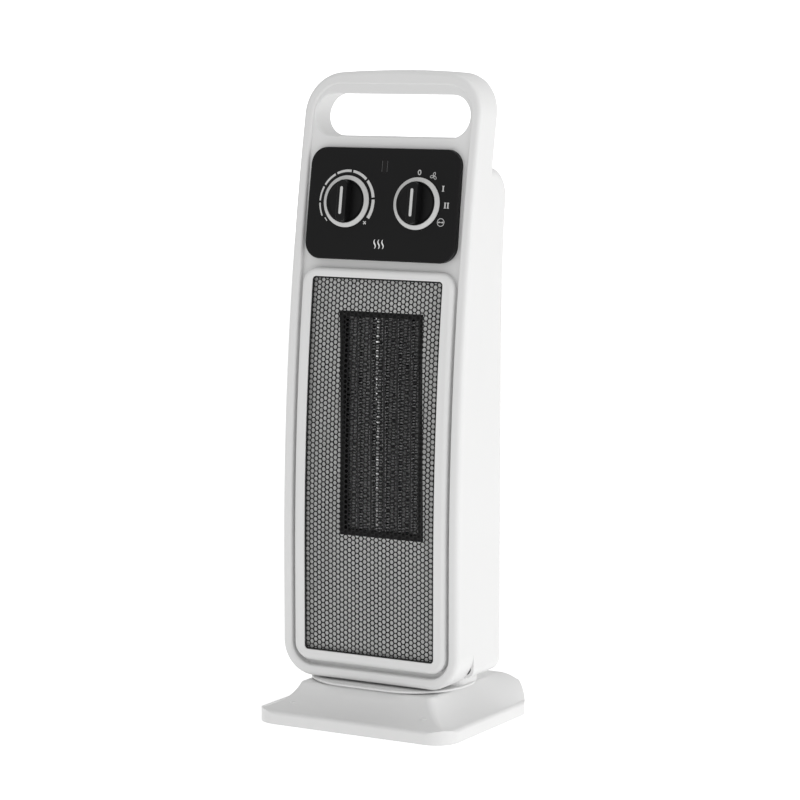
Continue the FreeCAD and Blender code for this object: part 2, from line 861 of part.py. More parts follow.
def make_element():
    front = size("element_y")
    back = front + size("element_depth")
    half = size("element_half")
    low = size("element_low")
    high = size("element_high")
    border = size("frame_border")
    width = size("frame_width")
    fin_front = front + size("frame_lip")
    fin_back = back - size("frame_back_lip")
    hold = 1.5
    nest_half = half - border + hold
    nest_low = low + border - hold
    nest_high = high - border + hold
    case = block(-half - width, half + width, front, back, low - width, high + width)
    sight = block(border - half, half - border, front - 1, back + 1, low + border, high - border)
    nest = block(-nest_half, nest_half, fin_front, fin_back, nest_low, nest_high)
    tab_places = (-20, 0, 20)
    slots = [block(place - 3, place + 3, front + 5, front + 5.8, high + width - 4, high + width + 1)
             for place in tab_places]
    keep("heater_frame", cut(case, sight, nest, *slots))
    keep("heater_terminals", group(*[
        block(place - 3, place + 3, front + 5, front + 5.8, high + width - 4, high + width + 9)
        for place in tab_places]))

    columns = int(sheet.get("column_count"))
    bar = size("bar_width")
    clear = 0.1
    pitch = (2 * nest_half - 2 * clear + bar) / size("column_count")
    bars = []
    for index in range(1, columns):
        start = clear - nest_half + pitch * index - bar
        bars.append(block(start, start + bar, fin_front, fin_back, nest_low + clear, nest_high - clear))
    keep("heater_bars", group(*bars))

    foil = size("foil").number
    depth = (fin_back - fin_front).number
    height = (nest_high - nest_low).number - 2 * clear
    cells = int(height // size("fin_pitch").number)
    step = height / cells
    ladders = []
    for index in range(columns):
        left = (clear - nest_half + pitch * index).number
        wide = (pitch - bar).number
        corner = Vector(left, fin_front.number, nest_low.number + clear)
        sheet_metal = rectangle(corner, wide, height)
        gaps = [rectangle(corner + Vector(foil, 0, foil / 2 + cell * step), wide - 2 * foil, step - foil)
                for cell in range(cells)]
        ladder = Part.makeFace([sheet_metal, *gaps], "Part::FaceMakerBullseye")
        ladders.append(ladder.extrude(Vector(0, depth, 0)))
    keep("heater_fins", shaped("fins", Part.makeCompound(ladders)))


def rectangle(corner, wide, tall):
    """A wire round an upright rectangle that faces the front, from its lower left corner."""
    across = Vector(wide, 0, 0)
    up = Vector(0, 0, tall)
    return Part.makePolygon([corner, corner + across, corner + across + up, corner + up, corner])


# --- blower ---------------------------------------------------------------------------------------------

MOTOR_BOLTS = ((-16.0, -4.0), (16.0, 28.0))
PILLARS = (-14.5, 14.5)


def make_blower():
    fan_y = size("fan_y")
    low = size("scroll_low")
    high = size("scroll_high")
    gauge = size("plate_gauge")
    front = size("element_y") + size("element_depth")
    back = size("rear_y") - size("wall")
    half = size("element_half") + size("frame_width")
    inner = size("scroll_inner")
    outer = inner + size("sheet_thick")
    thick = size("sheet_thick")
    grommet = 8

    floor_plate = block(-half, half, front, back, low, low + gauge)
    roof_plate = block(-half, half, front, back, high, high + gauge)
    tip = 100
    wall = prism("scroll_wall", "XY_Plane", [
        (half - thick * 1.4, front), (half, front), (outer, fan_y, outer),
        (outer * cosine(as_dim(tip)), fan_y + outer * sine(as_dim(tip))),
        (inner * cosine(as_dim(tip)), fan_y + inner * sine(as_dim(tip)), -inner),
        (inner, fan_y)], low + gauge, high - low - gauge)
    tongue = prism("scroll_tongue", "XY_Plane", [
        (-half, front), (thick * 1.4 - half, front), (-inner - 1, fan_y - 7), (-inner - 2.4, fan_y - 7)],
        low + gauge, high - low - gauge)
    holes = [rod(6, low - 1, low + gauge + 1, (0, fan_y)), rod(grommet, high - 1, high + gauge + 1, (0, fan_y))]
    holes += [rod(1.5, low - 1, low + gauge + 1, (x, y + fan_y - 12)) for x, y in MOTOR_BOLTS]
    keep("blower_scroll", cut(union(floor_plate, roof_plate, wall, tongue), *holes))

    shaft = size("shaft_radius")
    run = size("running")
    seat = high - 1.5
    grommet_body = turned("grommet", [
        (5, seat), (grommet, seat), (grommet, high + gauge), (grommet + 2.5, high + gauge),
        (grommet + 2.5, high + gauge + 1.5), (5, high + gauge + 1.5)])
    bind(grommet_body, "Placement.Base.y", fan_y)
    keep("bearing_grommet", grommet_body)
    bush = turned("bush", [(shaft + run, seat), (5, seat), (5, high + gauge + 1.5), (shaft + run, high + gauge + 1.5)])
    bind(bush, "Placement.Base.y", fan_y)
    keep("top_bearing", bush)

    make_impeller()
    keep("fan_shaft", rod(shaft, size("stack_low") - 9, high + gauge + 4, (0, fan_y)))
    make_motor()

    deck = high + gauge
    cutout = union(rod(8, deck, deck + 6.5, (-26, fan_y - 2)), block(-37, -15, fan_y - 5, fan_y + 1, deck, deck + 1))
    keep("thermal_cutout", cutout)
    keep("thermal_fuse", rod(2, 18, 32, (fan_y - 14, deck + 2), "x"))


def make_impeller():
    """Cross-flow wheel: two end discs, two stiffening rings and curved blades between them."""
    low = size("fan_low")
    high = size("fan_high")
    radius = size("fan_radius")
    root_radius = radius - 5
    end = 1.6
    body = new_body("wheel")
    sketch = new_sketch(body, "XY_Plane", low)
    circle(sketch, 0, 0, radius)
    circle(sketch, 0, 0, size("shaft_radius"))
    pad(body, sketch, end)
    sketch = new_sketch(body, "XY_Plane", low)
    blade = 0.8
    outline(sketch, [
        (root_radius, 0), (root_radius + blade, 0, -8), (radius - 0.3, 3.1), (radius - 0.9, 3.9, 8)])
    vane = pad(body, sketch, high - low)
    ring_of_vanes = body.newObject("PartDesign::PolarPattern", "vanes")
    ring_of_vanes.Originals = [vane]
    ring_of_vanes.Axis = (sketch, ["N_Axis"])
    ring_of_vanes.Angle = 360
    ring_of_vanes.Occurrences = int(sheet.get("blade_count"))
    body.Tip = ring_of_vanes
    doc.recompute()
    for place in ((low * 2 + high) / 3, (low + high * 2) / 3):
        sketch = new_sketch(body, "XY_Plane", place)
        circle(sketch, 0, 0, radius)
        circle(sketch, 0, 0, root_radius - 1)
        pad(body, sketch, 1)
    sketch = new_sketch(body, "XY_Plane", high - end)
    circle(sketch, 0, 0, radius)
    circle(sketch, 0, 0, size("shaft_radius"))
    pad(body, sketch, end)
    bind(body, "Placement.Base.y", size("fan_y"))
    keep("impeller", body)


def make_motor():
    """Shaded-pole fan motor: stack and coil, two bearing brackets, rotor, spacers and screws."""
    y = size("fan_y")
    low = size("stack_low")
    high = size("stack_high")
    stack = block(-20, 44, y - 20, y + 20, low, high)
    window_hole = block(22, 36, y - 12, y + 12, low - 1, high + 1)
    rotor_hole = rod(12.4, low - 1, high + 1, (0, y))
    bolt_holes = [rod(1.5, low - 1, high + 1, (x, y + place - 12)) for x, place in MOTOR_BOLTS]
    keep("motor_stator", cut(stack, window_hole, rotor_hole, *bolt_holes))
    coil = block(30, 50, y - 11.5, y + 11.5, low - 5, high + 5)
    limb = block(36, 44, y - 12, y + 12, low, high)
    keep("motor_coil", cut(coil, limb))
    keep("motor_rotor", cut(rod(12, low - 1, high + 1, (0, y)), rod(size("shaft_radius"), low - 2, high + 2, (0, y))))
    bracket_parts = []
    for base, side in ((high, 1), (low, -1)):
        near = base + side * 5
        far = base + side * 7
        strip_low, strip_high = (near, far) if side > 0 else (far, near)
        pillar_low, pillar_high = (base, near) if side > 0 else (near, base)
        strip = block(-18, 18, y - 6, y + 6, strip_low, strip_high)
        posts = [block(place - 1.2, place + 1.2, y - 6, y + 6, pillar_low, pillar_high) for place in PILLARS]
        bore = rod(size("shaft_radius") + size("running"), strip_low - 1, strip_high + 1, (0, y))
        bracket_parts.append(cut(union(strip, *posts), bore))
    keep("motor_brackets", group(*bracket_parts))
    top = size("scroll_low")
    spacers = []
    screws = []
    for x, place in MOTOR_BOLTS:
        spot = (x, y + place - 12)
        spacers.append(cut(rod(3, high, top, spot), rod(1.5, high - 1, top + 1, spot)))
        screws.append(union(rod(1.5, low, top + size("plate_gauge"), spot), rod(2.8, low - 2, low, spot)))
    keep("motor_spacers", group(*spacers))
    keep("motor_screws", group(*screws))


# --- rear shell -----------------------------------------------------------------------------------------

def rear_block(name, inset):
    """The rear housing's outside, or its inside when inset by the wall, as a rounded block."""
    back = size("rear_y") - inset
    low = size("rear_bottom") + inset
    top = size("rear_top") - inset
    corner_high = size("rear_corner_high") - inset
    corner_low = size("rear_corner_low") - inset
    lean_radius = size("lean_radius") + inset
    lean_start = size("lean_start")
    corner_z = top - corner_high
    rise = corner_z - lean_start
    reach = lean_radius + corner_high
    corner_y = back + lean_radius - root(reach * reach - rise * rise)
    share = lean_radius / reach
    meet_y = back + lean_radius - (back + lean_radius - corner_y) * share
    meet_z = lean_start + rise * share
    depth = size("shell_depth")
    if inset == 0:
        radius = size("front_radius") - depth
        front = [
            (curve_y(depth, radius, top), top, radius),
            (size("face_y") + depth, size("bend_start")),
            (size("face_y") + depth, low)]
    else:
        front = [(0, top), (size("face_y") + depth - 14, low)]
    body = new_body(name)
    sketch = new_sketch(body, "YZ_Plane")
    outline(sketch, [
        (back - corner_low, low, corner_low),
        (back, low + corner_low),
        (back, lean_start, -lean_radius),
        (meet_y, meet_z, corner_high),
        (corner_y, top),
        *front])
    half = size("body_half") - inset
    padded = pad(body, sketch, 2 * half, symmetric=True)
    doc.recompute()
    side = half.number
    seam_reach = corner_y.number

    def rear_side(edge):
        box = edge.BoundBox
        flat_side = box.XLength < 0.01 and abs(abs(box.XMin) - side) < 0.01
        at_seam = box.ZLength > 50 and box.YMax < seam_reach
        return flat_side and not at_seam

    names = [f"Edge{index}" for index, edge in enumerate(body.Shape.Edges, start=1) if rear_side(edge)]
    fillet = body.newObject("PartDesign::Fillet", name + "_fillet")
    fillet.Base = (padded, names)
    bind(fillet, "Radius", size("rear_corner_side") - inset)
    return body


SKIRT_SCREWS = ((-48.0, -4.0), (48.0, -4.0), (-48.0, 20.0), (48.0, 20.0))


def make_rear_shell():
    wall = size("wall")
    bottom = size("rear_bottom")
    outside = rear_block("rear_outside", 0)
    inside = rear_block("rear_inside", wall)
    wire_hole = rod(size("post_bore"), bottom - 1, bottom + wall + 1, (0, 0))
    louvres = []
    reach = size("rear_y") + 12
    start = size("rear_y") - wall - 1
    for row in range(int(sheet.get("louvre_rows"))):
        low = size("louvre_low") + size("louvre_pitch") * row
        for column in (-1, 0, 1):
            centre = size("louvre_spacing") * column
            half = size("louvre_half")
            louvres.append(block(centre - half, centre + half, start, reach, low, low + size("louvre_gap")))
    bosses = []
    bores = []
    for x, boss in BOSSES:
        bosses.append(rod(4.5, boss["seam"], size("rear_y") - 1, (x, boss["height"]), "y"))
        bores.append(rod(SCREW, boss["seam"] - 1, boss["seam"] + 9, (x, boss["height"]), "y"))
        bores.append(rod(3.3, boss["seam"] + 8, reach, (x, boss["height"]), "y"))
    for x, y in SKIRT_SCREWS:
        bosses.append(rod(4, bottom + 1, bottom + 14, (x, y)))
        bores.append(rod(1.5, bottom - 1, bottom + 12, (x, y)))
    shell = cut(union(cut(outside, inside), *bosses), wire_hole, *bores)
    keep("rear_shell", cut(shell, group(*louvres)))

    screws = []
    for x, boss in BOSSES:
        spot = (x, boss["height"])
        head = boss["seam"] + 8
        screws.append(union(rod(SCREW, boss["seam"] - 12, head, spot, "y"), rod(3, head, head + 2.4, spot, "y")))
    keep("body_screws", group(*screws))

    inner = size("body_half") - wall
    keep("terminal_block", block(-inner, 13 - inner, 2, 26, 90, 122))
    route = [Vector(-62, 14, 122), Vector(-62, 14, 356), Vector(-26, 10, 356), Vector(-26, 10, 346.5)]
    keep("wiring_loom", shaped("loom", bent_wire(route, 2.2)))


def bent_wire(route, radius):
    """A bundle of wires along a route, with a ball at each turn."""
    pieces = [Part.makeCylinder(radius, (there - here).Length, here, there - here)
              for here, there in zip(route, route[1:])]
    pieces += [Part.makeSphere(radius, corner) for corner in route[1:-1]]
    return pieces[0].multiFuse(pieces[1:]).removeSplitter()


# --- base -----------------------------------------------------------------------------------------------

def base_levels(inset):
    """Lowest edge, rim and plateau heights of the base's outside, or of its inside when inset."""
    low = size("base_lift") if inset == 0 else size("base_lift") - 1
    return low, size("rim_top") - inset, size("plateau_z") - inset


def slope_radius(run, rise, sag):
    """Radius of an arc over a slope from its sag; negative when the slope is hollow."""
    reach = (run * run + rise * rise) / (8 * abs(sag.number)) + abs(sag.number) / 2
    return -reach if sag.number > 0 else reach


def cross_outline(inset, sag):
    """The base seen from the front: upright rim, soft edge, side slopes with the given sag, plateau."""
    soft = size("rim_inset")
    low, rim, top = base_levels(inset)
    out = size("base_half_x") - inset
    flat = size("plateau_half_x") - inset * 0.4
    sweep = slope_radius(out - soft - flat, top - rim, sag)
    return [
        (-out, low), (out, low), (out, rim - soft, soft), (out - soft, rim, sweep), (flat, top),
        (-flat, top, sweep), (soft - out, rim, soft), (-out, rim - soft)]


def side_outline(inset):
    """The base seen from the side: hollow slope at the front, plateau, and a tall rounded rear."""
    soft = size("rim_inset")
    low, rim, top = base_levels(inset)
    out = size("base_half_y") - inset
    flat = size("plateau_half_y") - inset * 0.4
    rear = size("rear_round") - inset
    sweep = slope_radius(out - soft - flat, top - rim, size("cove_sag"))
    return [
        (-out, low), (out, low), (out, top - rear, rear), (out - rear, top), (-flat, top, sweep),
        (soft - out, rim, soft), (-out, rim - soft)]


def cove_block(name, inset):
    """The base's outside, or its inside: side slopes that turn from hollow at the front to full at the rear."""
    half_x = size("base_half_x") - inset
    half_y = size("base_half_y") - inset
    body = new_body(name)
    sections = []
    for place, sag in ((-half_y, size("cove_sag")), (as_dim(5), size("cove_sag")), (half_y, -size("rear_bulge"))):
        section = new_sketch(body, "XZ_Plane", -place)
        outline(section, cross_outline(inset, sag))
        sections.append(section)
    loft = body.newObject("PartDesign::AdditiveLoft", name + "_loft")
    loft.Profile = sections[0]
    loft.Sections = sections[1:]
    trim(body, "YZ_Plane", side_outline(inset))
    trim(body, "XY_Plane", rounded(-half_x, half_x, -half_y, half_y, size("base_corner") - inset))
    return body


BASE_SCREWS = [(x, y) for x in (-60.0, 60.0) for y in (-55.0, 55.0)]
FEET = [(x, y) for x in (-74.0, 74.0) for y in (-50.0, 50.0)]
GLAND = {"x": -38.0, "z": 8.3, "radius": 3.8, "bore": 3.3}


def make_base():
    wall = size("base_wall")
    lift = size("base_lift")
    plate_top = lift + size("plate_thick")
    plateau = size("plateau_z")
    bore = size("post_radius") + size("running")

    def hip_edge(edge):
        box = edge.BoundBox
        return box.YMax < 1 - size("plateau_half_y").number and box.ZLength > 15

    def plateau_edge(edge):
        return edge.BoundBox.ZMin > plateau.number - 0.02

    outside = round_edges(cove_block("base_outside", 0), 6.0, hip_edge)
    outside = round_edges(outside, 3.0, plateau_edge)
    hollow = cut(outside, cove_block("base_inside", wall))
    collar = rod(size("boss_radius"), size("post_bottom") + 0.2, plateau - 1, (0, 0))
    bosses = [rod(4, plate_top, 18.6, spot) for spot in BASE_SCREWS]
    gland_x = GLAND["x"]
    back = size("base_half_y")
    gland_boss = block(gland_x - 8, gland_x + 8, back - 12, back - 1.5, plate_top, 12)
    tools = [rod(bore, plate_top, plateau + 1, (0, 0)),
             rod(GLAND["radius"], back - 14, back + 1, (gland_x, GLAND["z"]), "y")]
    tools += [rod(SCREW, plate_top - 1, 15.5, spot) for spot in BASE_SCREWS]
    shell = cut(union(hollow, collar, *bosses, gland_boss), *tools)
    keep("base_shell", shell)
    gland = cut(rod(GLAND["radius"], back - 13.5, back, (gland_x, GLAND["z"]), "y"),
                rod(GLAND["bore"], back - 15, back + 1, (gland_x, GLAND["z"]), "y"))
    keep("cord_gland", gland)

    gap = wall + 0.2
    half_x = size("base_half_x") - gap
    half_y = back - gap
    blank = prism("plate_blank", "XY_Plane", rounded(-half_x, half_x, -half_y, half_y, size("base_corner") - gap),
                  lift, size("plate_thick"))
    holes = [rod(SCREW, lift - 1, plate_top + 1, spot) for spot in BASE_SCREWS]
    holes += [rod(3.1, lift - 1, lift + 1.2, spot) for spot in BASE_SCREWS]
    holes.append(rod(size("plunger_radius") + 0.3, lift - 1, plate_top + 1, (size("tilt_x"), size("tilt_y"))))
    keep("base_plate", cut(blank, *holes))
    keep("base_screws", group(*[union(rod(2.8, lift, lift + 1.2, spot), rod(SCREW, lift + 1, 14.5, spot))
                                for spot in BASE_SCREWS]))
    keep("rubber_feet", group(*[rod(8, 0, lift, spot) for spot in FEET]))
    keep("bearing_ring", cut(rod(33, plateau, size("skirt_bottom") - 0.1, (0, 0)),
                             rod(24.5, plateau - 1, plateau + 2, (0, 0))))
    make_tilt_switch(plate_top)


def make_tilt_switch(floor):
    """Tip-over cut-out: a sprung button that the heater stands on and the switch it holds closed."""
    x = size("tilt_x")
    y = size("tilt_y")
    button = size("plunger_radius")
    collar_low = 9
    collar_high = 10.5
    ceiling = 19
    roof = 24
    stem = 1.6
    spot = (x, y)
    keep("tilt_plunger", union(rod(button, 0, collar_low, spot), rod(5.4, collar_low, collar_high, spot),
                               rod(stem, collar_high, roof - 0.1, spot)))
    case = block(x - 10, x + 10, y - 10, y + 10, floor, roof)
    keep("tilt_switch_housing", cut(case, rod(6.2, floor - 1, ceiling, spot), rod(stem + 0.2, ceiling - 1, roof + 1, spot)))
    keep("tilt_microswitch", block(x - 8, x + 8, y - 3.2, y + 3.2, roof, roof + 6))
    wire = 0.7
    turns = 4
    coil_radius = 3.2
    height = ceiling - collar_high - wire
    helix = Part.makeHelix(height / turns, height, coil_radius)
    inner = Vector(coil_radius - wire / 2, 0, -wire / 2)
    section = Part.makePolygon([inner, inner + Vector(wire, 0, 0), inner + Vector(wire, 0, wire),
                                inner + Vector(0, 0, wire), inner])
    coil = Part.Wire(helix.Edges).makePipeShell([section], True, True)
    coil.translate(Vector(x.number, y.number, collar_high + wire / 2))
    keep("tilt_spring", shaped("spring", coil))


# --- swivel and its drive -------------------------------------------------------------------------------

def make_swivel():
    low = size("skirt_bottom")
    gap = size("skirt_gap")
    half_x = size("skirt_half_x")
    half_y = size("skirt_half_y")
    under_front = size("shell_bottom") - gap
    under_rear = size("rear_bottom")
    post = size("post_radius")
    bore = size("post_bore")
    ring_top = size("post_bottom")
    spots = [(18 * math.cos(math.radians(turn)), 18 * math.sin(math.radians(turn))) for turn in (60, 180, 300)]
    plate_top = low + size("skirt_thick")
    plate = round_edges(prism("skirt_plate", "XY_Plane", rounded(-half_x, half_x, -half_y, half_y, half_y - 3),
                              low, plate_top - low),
                        0.8, lambda edge: edge.BoundBox.ZMin > plate_top.number - 0.01)
    core = rod(post + 6, plate_top - 0.5, under_front, (0, 0))
    riser = prism("skirt_riser", "XY_Plane", rounded(as_dim(-66), 66, as_dim(-12.4), 30, 14),
                  plate_top, under_rear - plate_top)
    tube = rod(post, size("post_bottom"), low + 1, (0, 0))
    tools = [rod(bore, 10, under_rear + 1, (0, 0))]
    for spot in SKIRT_SCREWS:
        tools.append(rod(1.5, low - 1, under_rear + 1, spot))
        tools.append(rod(3.2, low - 1, low + 4, spot))
    foot = cut(union(plate, core, riser, tube), *tools, *[rod(1.2, ring_top - 1, ring_top + 7, spot) for spot in spots])

    keep("swivel_skirt", foot)
    keep("skirt_screws", group(*[union(rod(2.8, low + 2, low + 4, spot), rod(1.5, low + 4, under_rear + 11, spot))
                                 for spot in SKIRT_SCREWS]))
    ring_low = ring_top - size("retainer_thick")
    ring = cut(rod(size("retainer_radius"), ring_low, ring_top, (0, 0)), rod(bore, ring_low - 1, ring_top + 1, (0, 0)),
               *[rod(1.2, ring_low - 1, ring_top + 1, spot) for spot in spots])
    keep("retaining_ring", ring)
    keep("retaining_screws", group(*[union(rod(2.3, ring_low - 1.5, ring_low, spot),
                                           rod(1.2, ring_low - 1, ring_top + 7, spot)) for spot in spots]))

    arm_low = ring_low - size("arm_thick")
    slot = size("arm_slot_half")
    far_end = size("arm_reach") + size("crank_radius") + size("roller_radius") + 0.4
    arm = block(9, far_end + 2.4, -slot - 4.3, slot + 4.3, arm_low, ring_low)
    slit = block(12.0, far_end, -slot, slot, arm_low - 1, ring_low + 1)
    keep("swing_arm", cut(arm, slit))
    make_oscillator(arm_low)


def make_oscillator(arm_low):
    floor = size("base_lift") + size("plate_thick")
    centre = size("arm_reach")
    crank = size("crank_radius")
    top = arm_low - 0.8
    crank_low = top - 2
    motor_top = crank_low - 1.2
    shaft = 3
    bore = shaft + size("running")
    ears = block(centre - 5, centre + 5, -32, 32, floor, floor + 2)
    ear_spots = [(centre, -28.5), (centre, 28.5)]
    can = union(rod(24, floor, motor_top, (centre, 0)), ears)
    keep("oscillation_motor", cut(can, rod(bore, floor + 3, motor_top + 1, (centre, 0)),
                                  *[rod(SCREW, floor - 1, floor + 3, spot) for spot in ear_spots]))
    keep("motor_mount_screws", group(*[union(rod(2.8, floor + 2, floor + 3.8, spot), rod(SCREW, floor, floor + 3, spot))
                                       for spot in ear_spots]))
    pin_x = centre - crank
    lever = block(pin_x, centre, -5, 5, crank_low, top)
    disc = union(lever, rod(5, crank_low, top, (pin_x, 0)), rod(7, crank_low, top, (centre, 0)),
                 rod(shaft, floor + 4, crank_low + 1, (centre, 0)),
                 rod(1.8, crank_low, arm_low + size("arm_thick") - 0.3, (pin_x, 0)))
    keep("oscillation_crank", disc)
    keep("crank_roller", cut(rod(size("roller_radius"), top + 0.1, arm_low + size("arm_thick") - 0.3, (pin_x, 0)),
                             rod(1.8, crank_low, arm_low + 5, (pin_x, 0))))


# --- build, check and write -----------------------------------------------------------------------------

make_front_shell()
make_panel()
make_knob("thermostat", -1)
make_knob("mode", 1)
make_controls()
make_outlet()
make_element()
make_blower()
make_rear_shell()
make_base()
make_swivel()
doc.recompute()

for thing in doc.Objects:
    if "Invalid" in thing.State or "Error" in thing.State:
        raise RuntimeError(f"{thing.Name} ({thing.Label}) failed: {thing.State}")

os.makedirs("parts", exist_ok=True)
for name, thing in NODES.items():
    if thing.Shape.isNull() or not thing.Shape.isValid():
        raise RuntimeError(f"{name} has no valid shape")
    if not thing.Shape.Solids:
        raise RuntimeError(f"{name} holds no solid")
    thing.Shape.exportStep(f"parts/{name}.step")
print(len(NODES), "sub-parts written")
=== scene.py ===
# %% [markdown]
# # An oscillating ceramic tower heater, dressed for its portrait
#
# The engineering model already holds every moulding, screw and shaft in its true place. This lesson keeps
# those pieces where they are and gives each one its finish. A few pieces are too fine for the engineering
# model: the perforated guard, the corrugated foil of the heating element and the printing on the dials.
# They are built here, in metres, in the same frame.

# %% Load the fixed frame
import math

import bmesh
import bpy
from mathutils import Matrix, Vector


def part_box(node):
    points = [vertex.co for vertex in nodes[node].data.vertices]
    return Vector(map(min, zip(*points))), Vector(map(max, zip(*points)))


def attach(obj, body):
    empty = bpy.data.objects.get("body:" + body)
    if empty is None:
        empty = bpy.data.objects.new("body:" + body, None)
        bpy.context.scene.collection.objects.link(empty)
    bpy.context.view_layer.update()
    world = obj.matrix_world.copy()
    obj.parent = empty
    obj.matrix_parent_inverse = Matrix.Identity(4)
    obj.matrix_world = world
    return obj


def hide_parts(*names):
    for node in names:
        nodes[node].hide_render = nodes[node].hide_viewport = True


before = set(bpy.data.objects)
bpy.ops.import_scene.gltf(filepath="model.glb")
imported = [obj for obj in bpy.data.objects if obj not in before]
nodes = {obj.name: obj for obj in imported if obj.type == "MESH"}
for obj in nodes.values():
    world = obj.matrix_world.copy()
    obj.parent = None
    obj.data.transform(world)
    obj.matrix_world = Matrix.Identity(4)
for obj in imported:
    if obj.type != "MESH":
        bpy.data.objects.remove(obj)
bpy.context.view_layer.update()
MM = 0.001

# %% [markdown]
# ## The curve that the whole front follows
#
# The front is upright near the floor and leans back along one large arc above the bend. Every sheet, band
# and print on the front sits a known depth behind or ahead of that curve, so one small function serves all
# of them. Working from a formula keeps a new piece on the surface without any fitting by eye.

# %% A function for the front curve
FACE_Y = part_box("front_shell")[0].y
BEND_START = 130 * MM
FRONT_RADIUS = 1820 * MM


def on_curve(x, z, depth=0.0):
    """The point at height z whose distance behind the rim's face is depth."""
    radius = FRONT_RADIUS - depth
    rise = max(z - BEND_START, 0.0)
    return Vector((x, FACE_Y + FRONT_RADIUS - math.sqrt(radius * radius - rise * rise), z))


print("the face at the top is", round((on_curve(0, 0.5).y - FACE_Y) / MM, 1), "mm behind its foot")

# %% [markdown]
# ## Turning lists of corners into closed meshes
#
# Thin sheets and prints look right only if they have real thickness and no loose faces. The helpers below
# make every such piece from two matching skins, a front and a back, and stitch the rim between them.

# %% Mesh helpers


def mesh_piece(name, vertices, faces, body, smooth=False):
    """A mesh object with outward faces that rides on one body of the frame."""
    mesh = bpy.data.meshes.new(name)
    mesh.from_pydata([tuple(vertex) for vertex in vertices], [], faces)
    editor = bmesh.new()
    editor.from_mesh(mesh)
    bmesh.ops.recalc_face_normals(editor, faces=editor.faces)
    editor.to_mesh(mesh)
    editor.free()
    for polygon in mesh.polygons:
        polygon.use_smooth = smooth
    piece = bpy.data.objects.new(name, mesh)
    bpy.context.scene.collection.objects.link(piece)
    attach(piece, body)
    return piece


class Sheet:
    """Collects flat patches that share corners, then closes them into one thin solid."""

    def __init__(self):
        self.places = {}
        self.spots = []
        self.patches = []

    def corner(self, u, v):
        key = (round(u, 7), round(v, 7))
        if key not in self.places:
            self.places[key] = len(self.spots)
            self.spots.append(key)
        return self.places[key]

    def patch(self, corners):
        self.patches.append([self.corner(u, v) for u, v in corners])

    def solid(self, name, outer, inner, body):
        """outer and inner turn a flat place (u, v) into the two skins' points."""
        count = len(self.spots)
        vertices = [outer(u, v) for u, v in self.spots] + [inner(u, v) for u, v in self.spots]
        faces = list(self.patches)
        faces += [[index + count for index in reversed(patch)] for patch in self.patches]
        edges = {(a, b) for patch in self.patches for a, b in zip(patch, patch[1:] + patch[:1])}
        faces += [[b, a, a + count, b + count] for a, b in edges if (b, a) not in edges]
        return mesh_piece(name, vertices, faces, body)


# %% [markdown]
# ## Shared surface effects
#
# Moulded plastic, paint and metal all show the same few things up close: a fine grain, slow patches where
# hands and dust changed the gloss, and a faint drift of colour. Each effect is one node group with named
# sockets, so every material can use it with its own strength. The groups put out only numbers and colours,
# and the shader stays in the material.

# %% Node groups for grain and gloss


def new_group(name, inputs, outputs):
    """An empty shader node group with float inputs (name, default) and typed outputs."""
    group = bpy.data.node_groups.new(name, "ShaderNodeTree")
    for label, default in inputs:
        socket = group.interface.new_socket(label, in_out="INPUT", socket_type="NodeSocketFloat")
        socket.default_value = default
    for label, kind in outputs:
        group.interface.new_socket(label, in_out="OUTPUT", socket_type=kind)
    return group, group.nodes.new("NodeGroupInput"), group.nodes.new("NodeGroupOutput")


def add(tree, kind, **settings):
    node = tree.nodes.new(kind)
    for key, setting in settings.items():
        setattr(node, key, setting)
    return node


def make_grain_group():
    """Fine moulded or sprayed grain: a height for the bump."""
    group, given, result = new_group("Fine grain", [("Scale", 900.0), ("Coarse share", 0.3)],
                                     [("Height", "NodeSocketFloat")])
    place = add(group, "ShaderNodeTexCoord")
    fine = add(group, "ShaderNodeTexNoise")
    fine.inputs["Detail"].default_value = 3.0
    coarse = add(group, "ShaderNodeTexNoise")
    coarse.inputs["Detail"].default_value = 2.0
    slower = add(group, "ShaderNodeMath", operation="MULTIPLY")
    slower.inputs[1].default_value = 0.12
    mix = add(group, "ShaderNodeMix", data_type="FLOAT")
    links = group.links
    links.new(place.outputs["Object"], fine.inputs["Vector"])
    links.new(place.outputs["Object"], coarse.inputs["Vector"])
    links.new(given.outputs["Scale"], fine.inputs["Scale"])
    links.new(given.outputs["Scale"], slower.inputs[0])
    links.new(slower.outputs[0], coarse.inputs["Scale"])
    links.new(given.outputs["Coarse share"], mix.inputs[0])
    links.new(fine.outputs[0], mix.inputs[2])
    links.new(coarse.outputs[0], mix.inputs[3])
    links.new(mix.outputs[0], result.inputs["Height"])
    return group


def make_patina_group():
    """Slow patches of handling and dust: a gloss that wanders and a mask for the colour."""
    group, given, result = new_group("Handling", [("Roughness", 0.4), ("Wander", 0.08), ("Scale", 9.0)],
                                     [("Roughness", "NodeSocketFloat"), ("Mask", "NodeSocketFloat")])
    place = add(group, "ShaderNodeTexCoord")
    noise = add(group, "ShaderNodeTexNoise")
    noise.inputs["Detail"].default_value = 5.0
    noise.inputs["Roughness"].default_value = 0.6
    centred = add(group, "ShaderNodeMath", operation="SUBTRACT")
    centred.inputs[1].default_value = 0.5
    scaled = add(group, "ShaderNodeMath", operation="MULTIPLY")
    total = add(group, "ShaderNodeMath", operation="ADD")
    links = group.links
    links.new(place.outputs["Object"], noise.inputs["Vector"])
    links.new(given.outputs["Scale"], noise.inputs["Scale"])
    links.new(noise.outputs[0], centred.inputs[0])
    links.new(centred.outputs[0], scaled.inputs[0])
    links.new(given.outputs["Wander"], scaled.inputs[1])
    links.new(scaled.outputs[0], total.inputs[0])
    links.new(given.outputs["Roughness"], total.inputs[1])
    links.new(total.outputs[0], result.inputs["Roughness"])
    links.new(noise.outputs[0], result.inputs["Mask"])
    return group


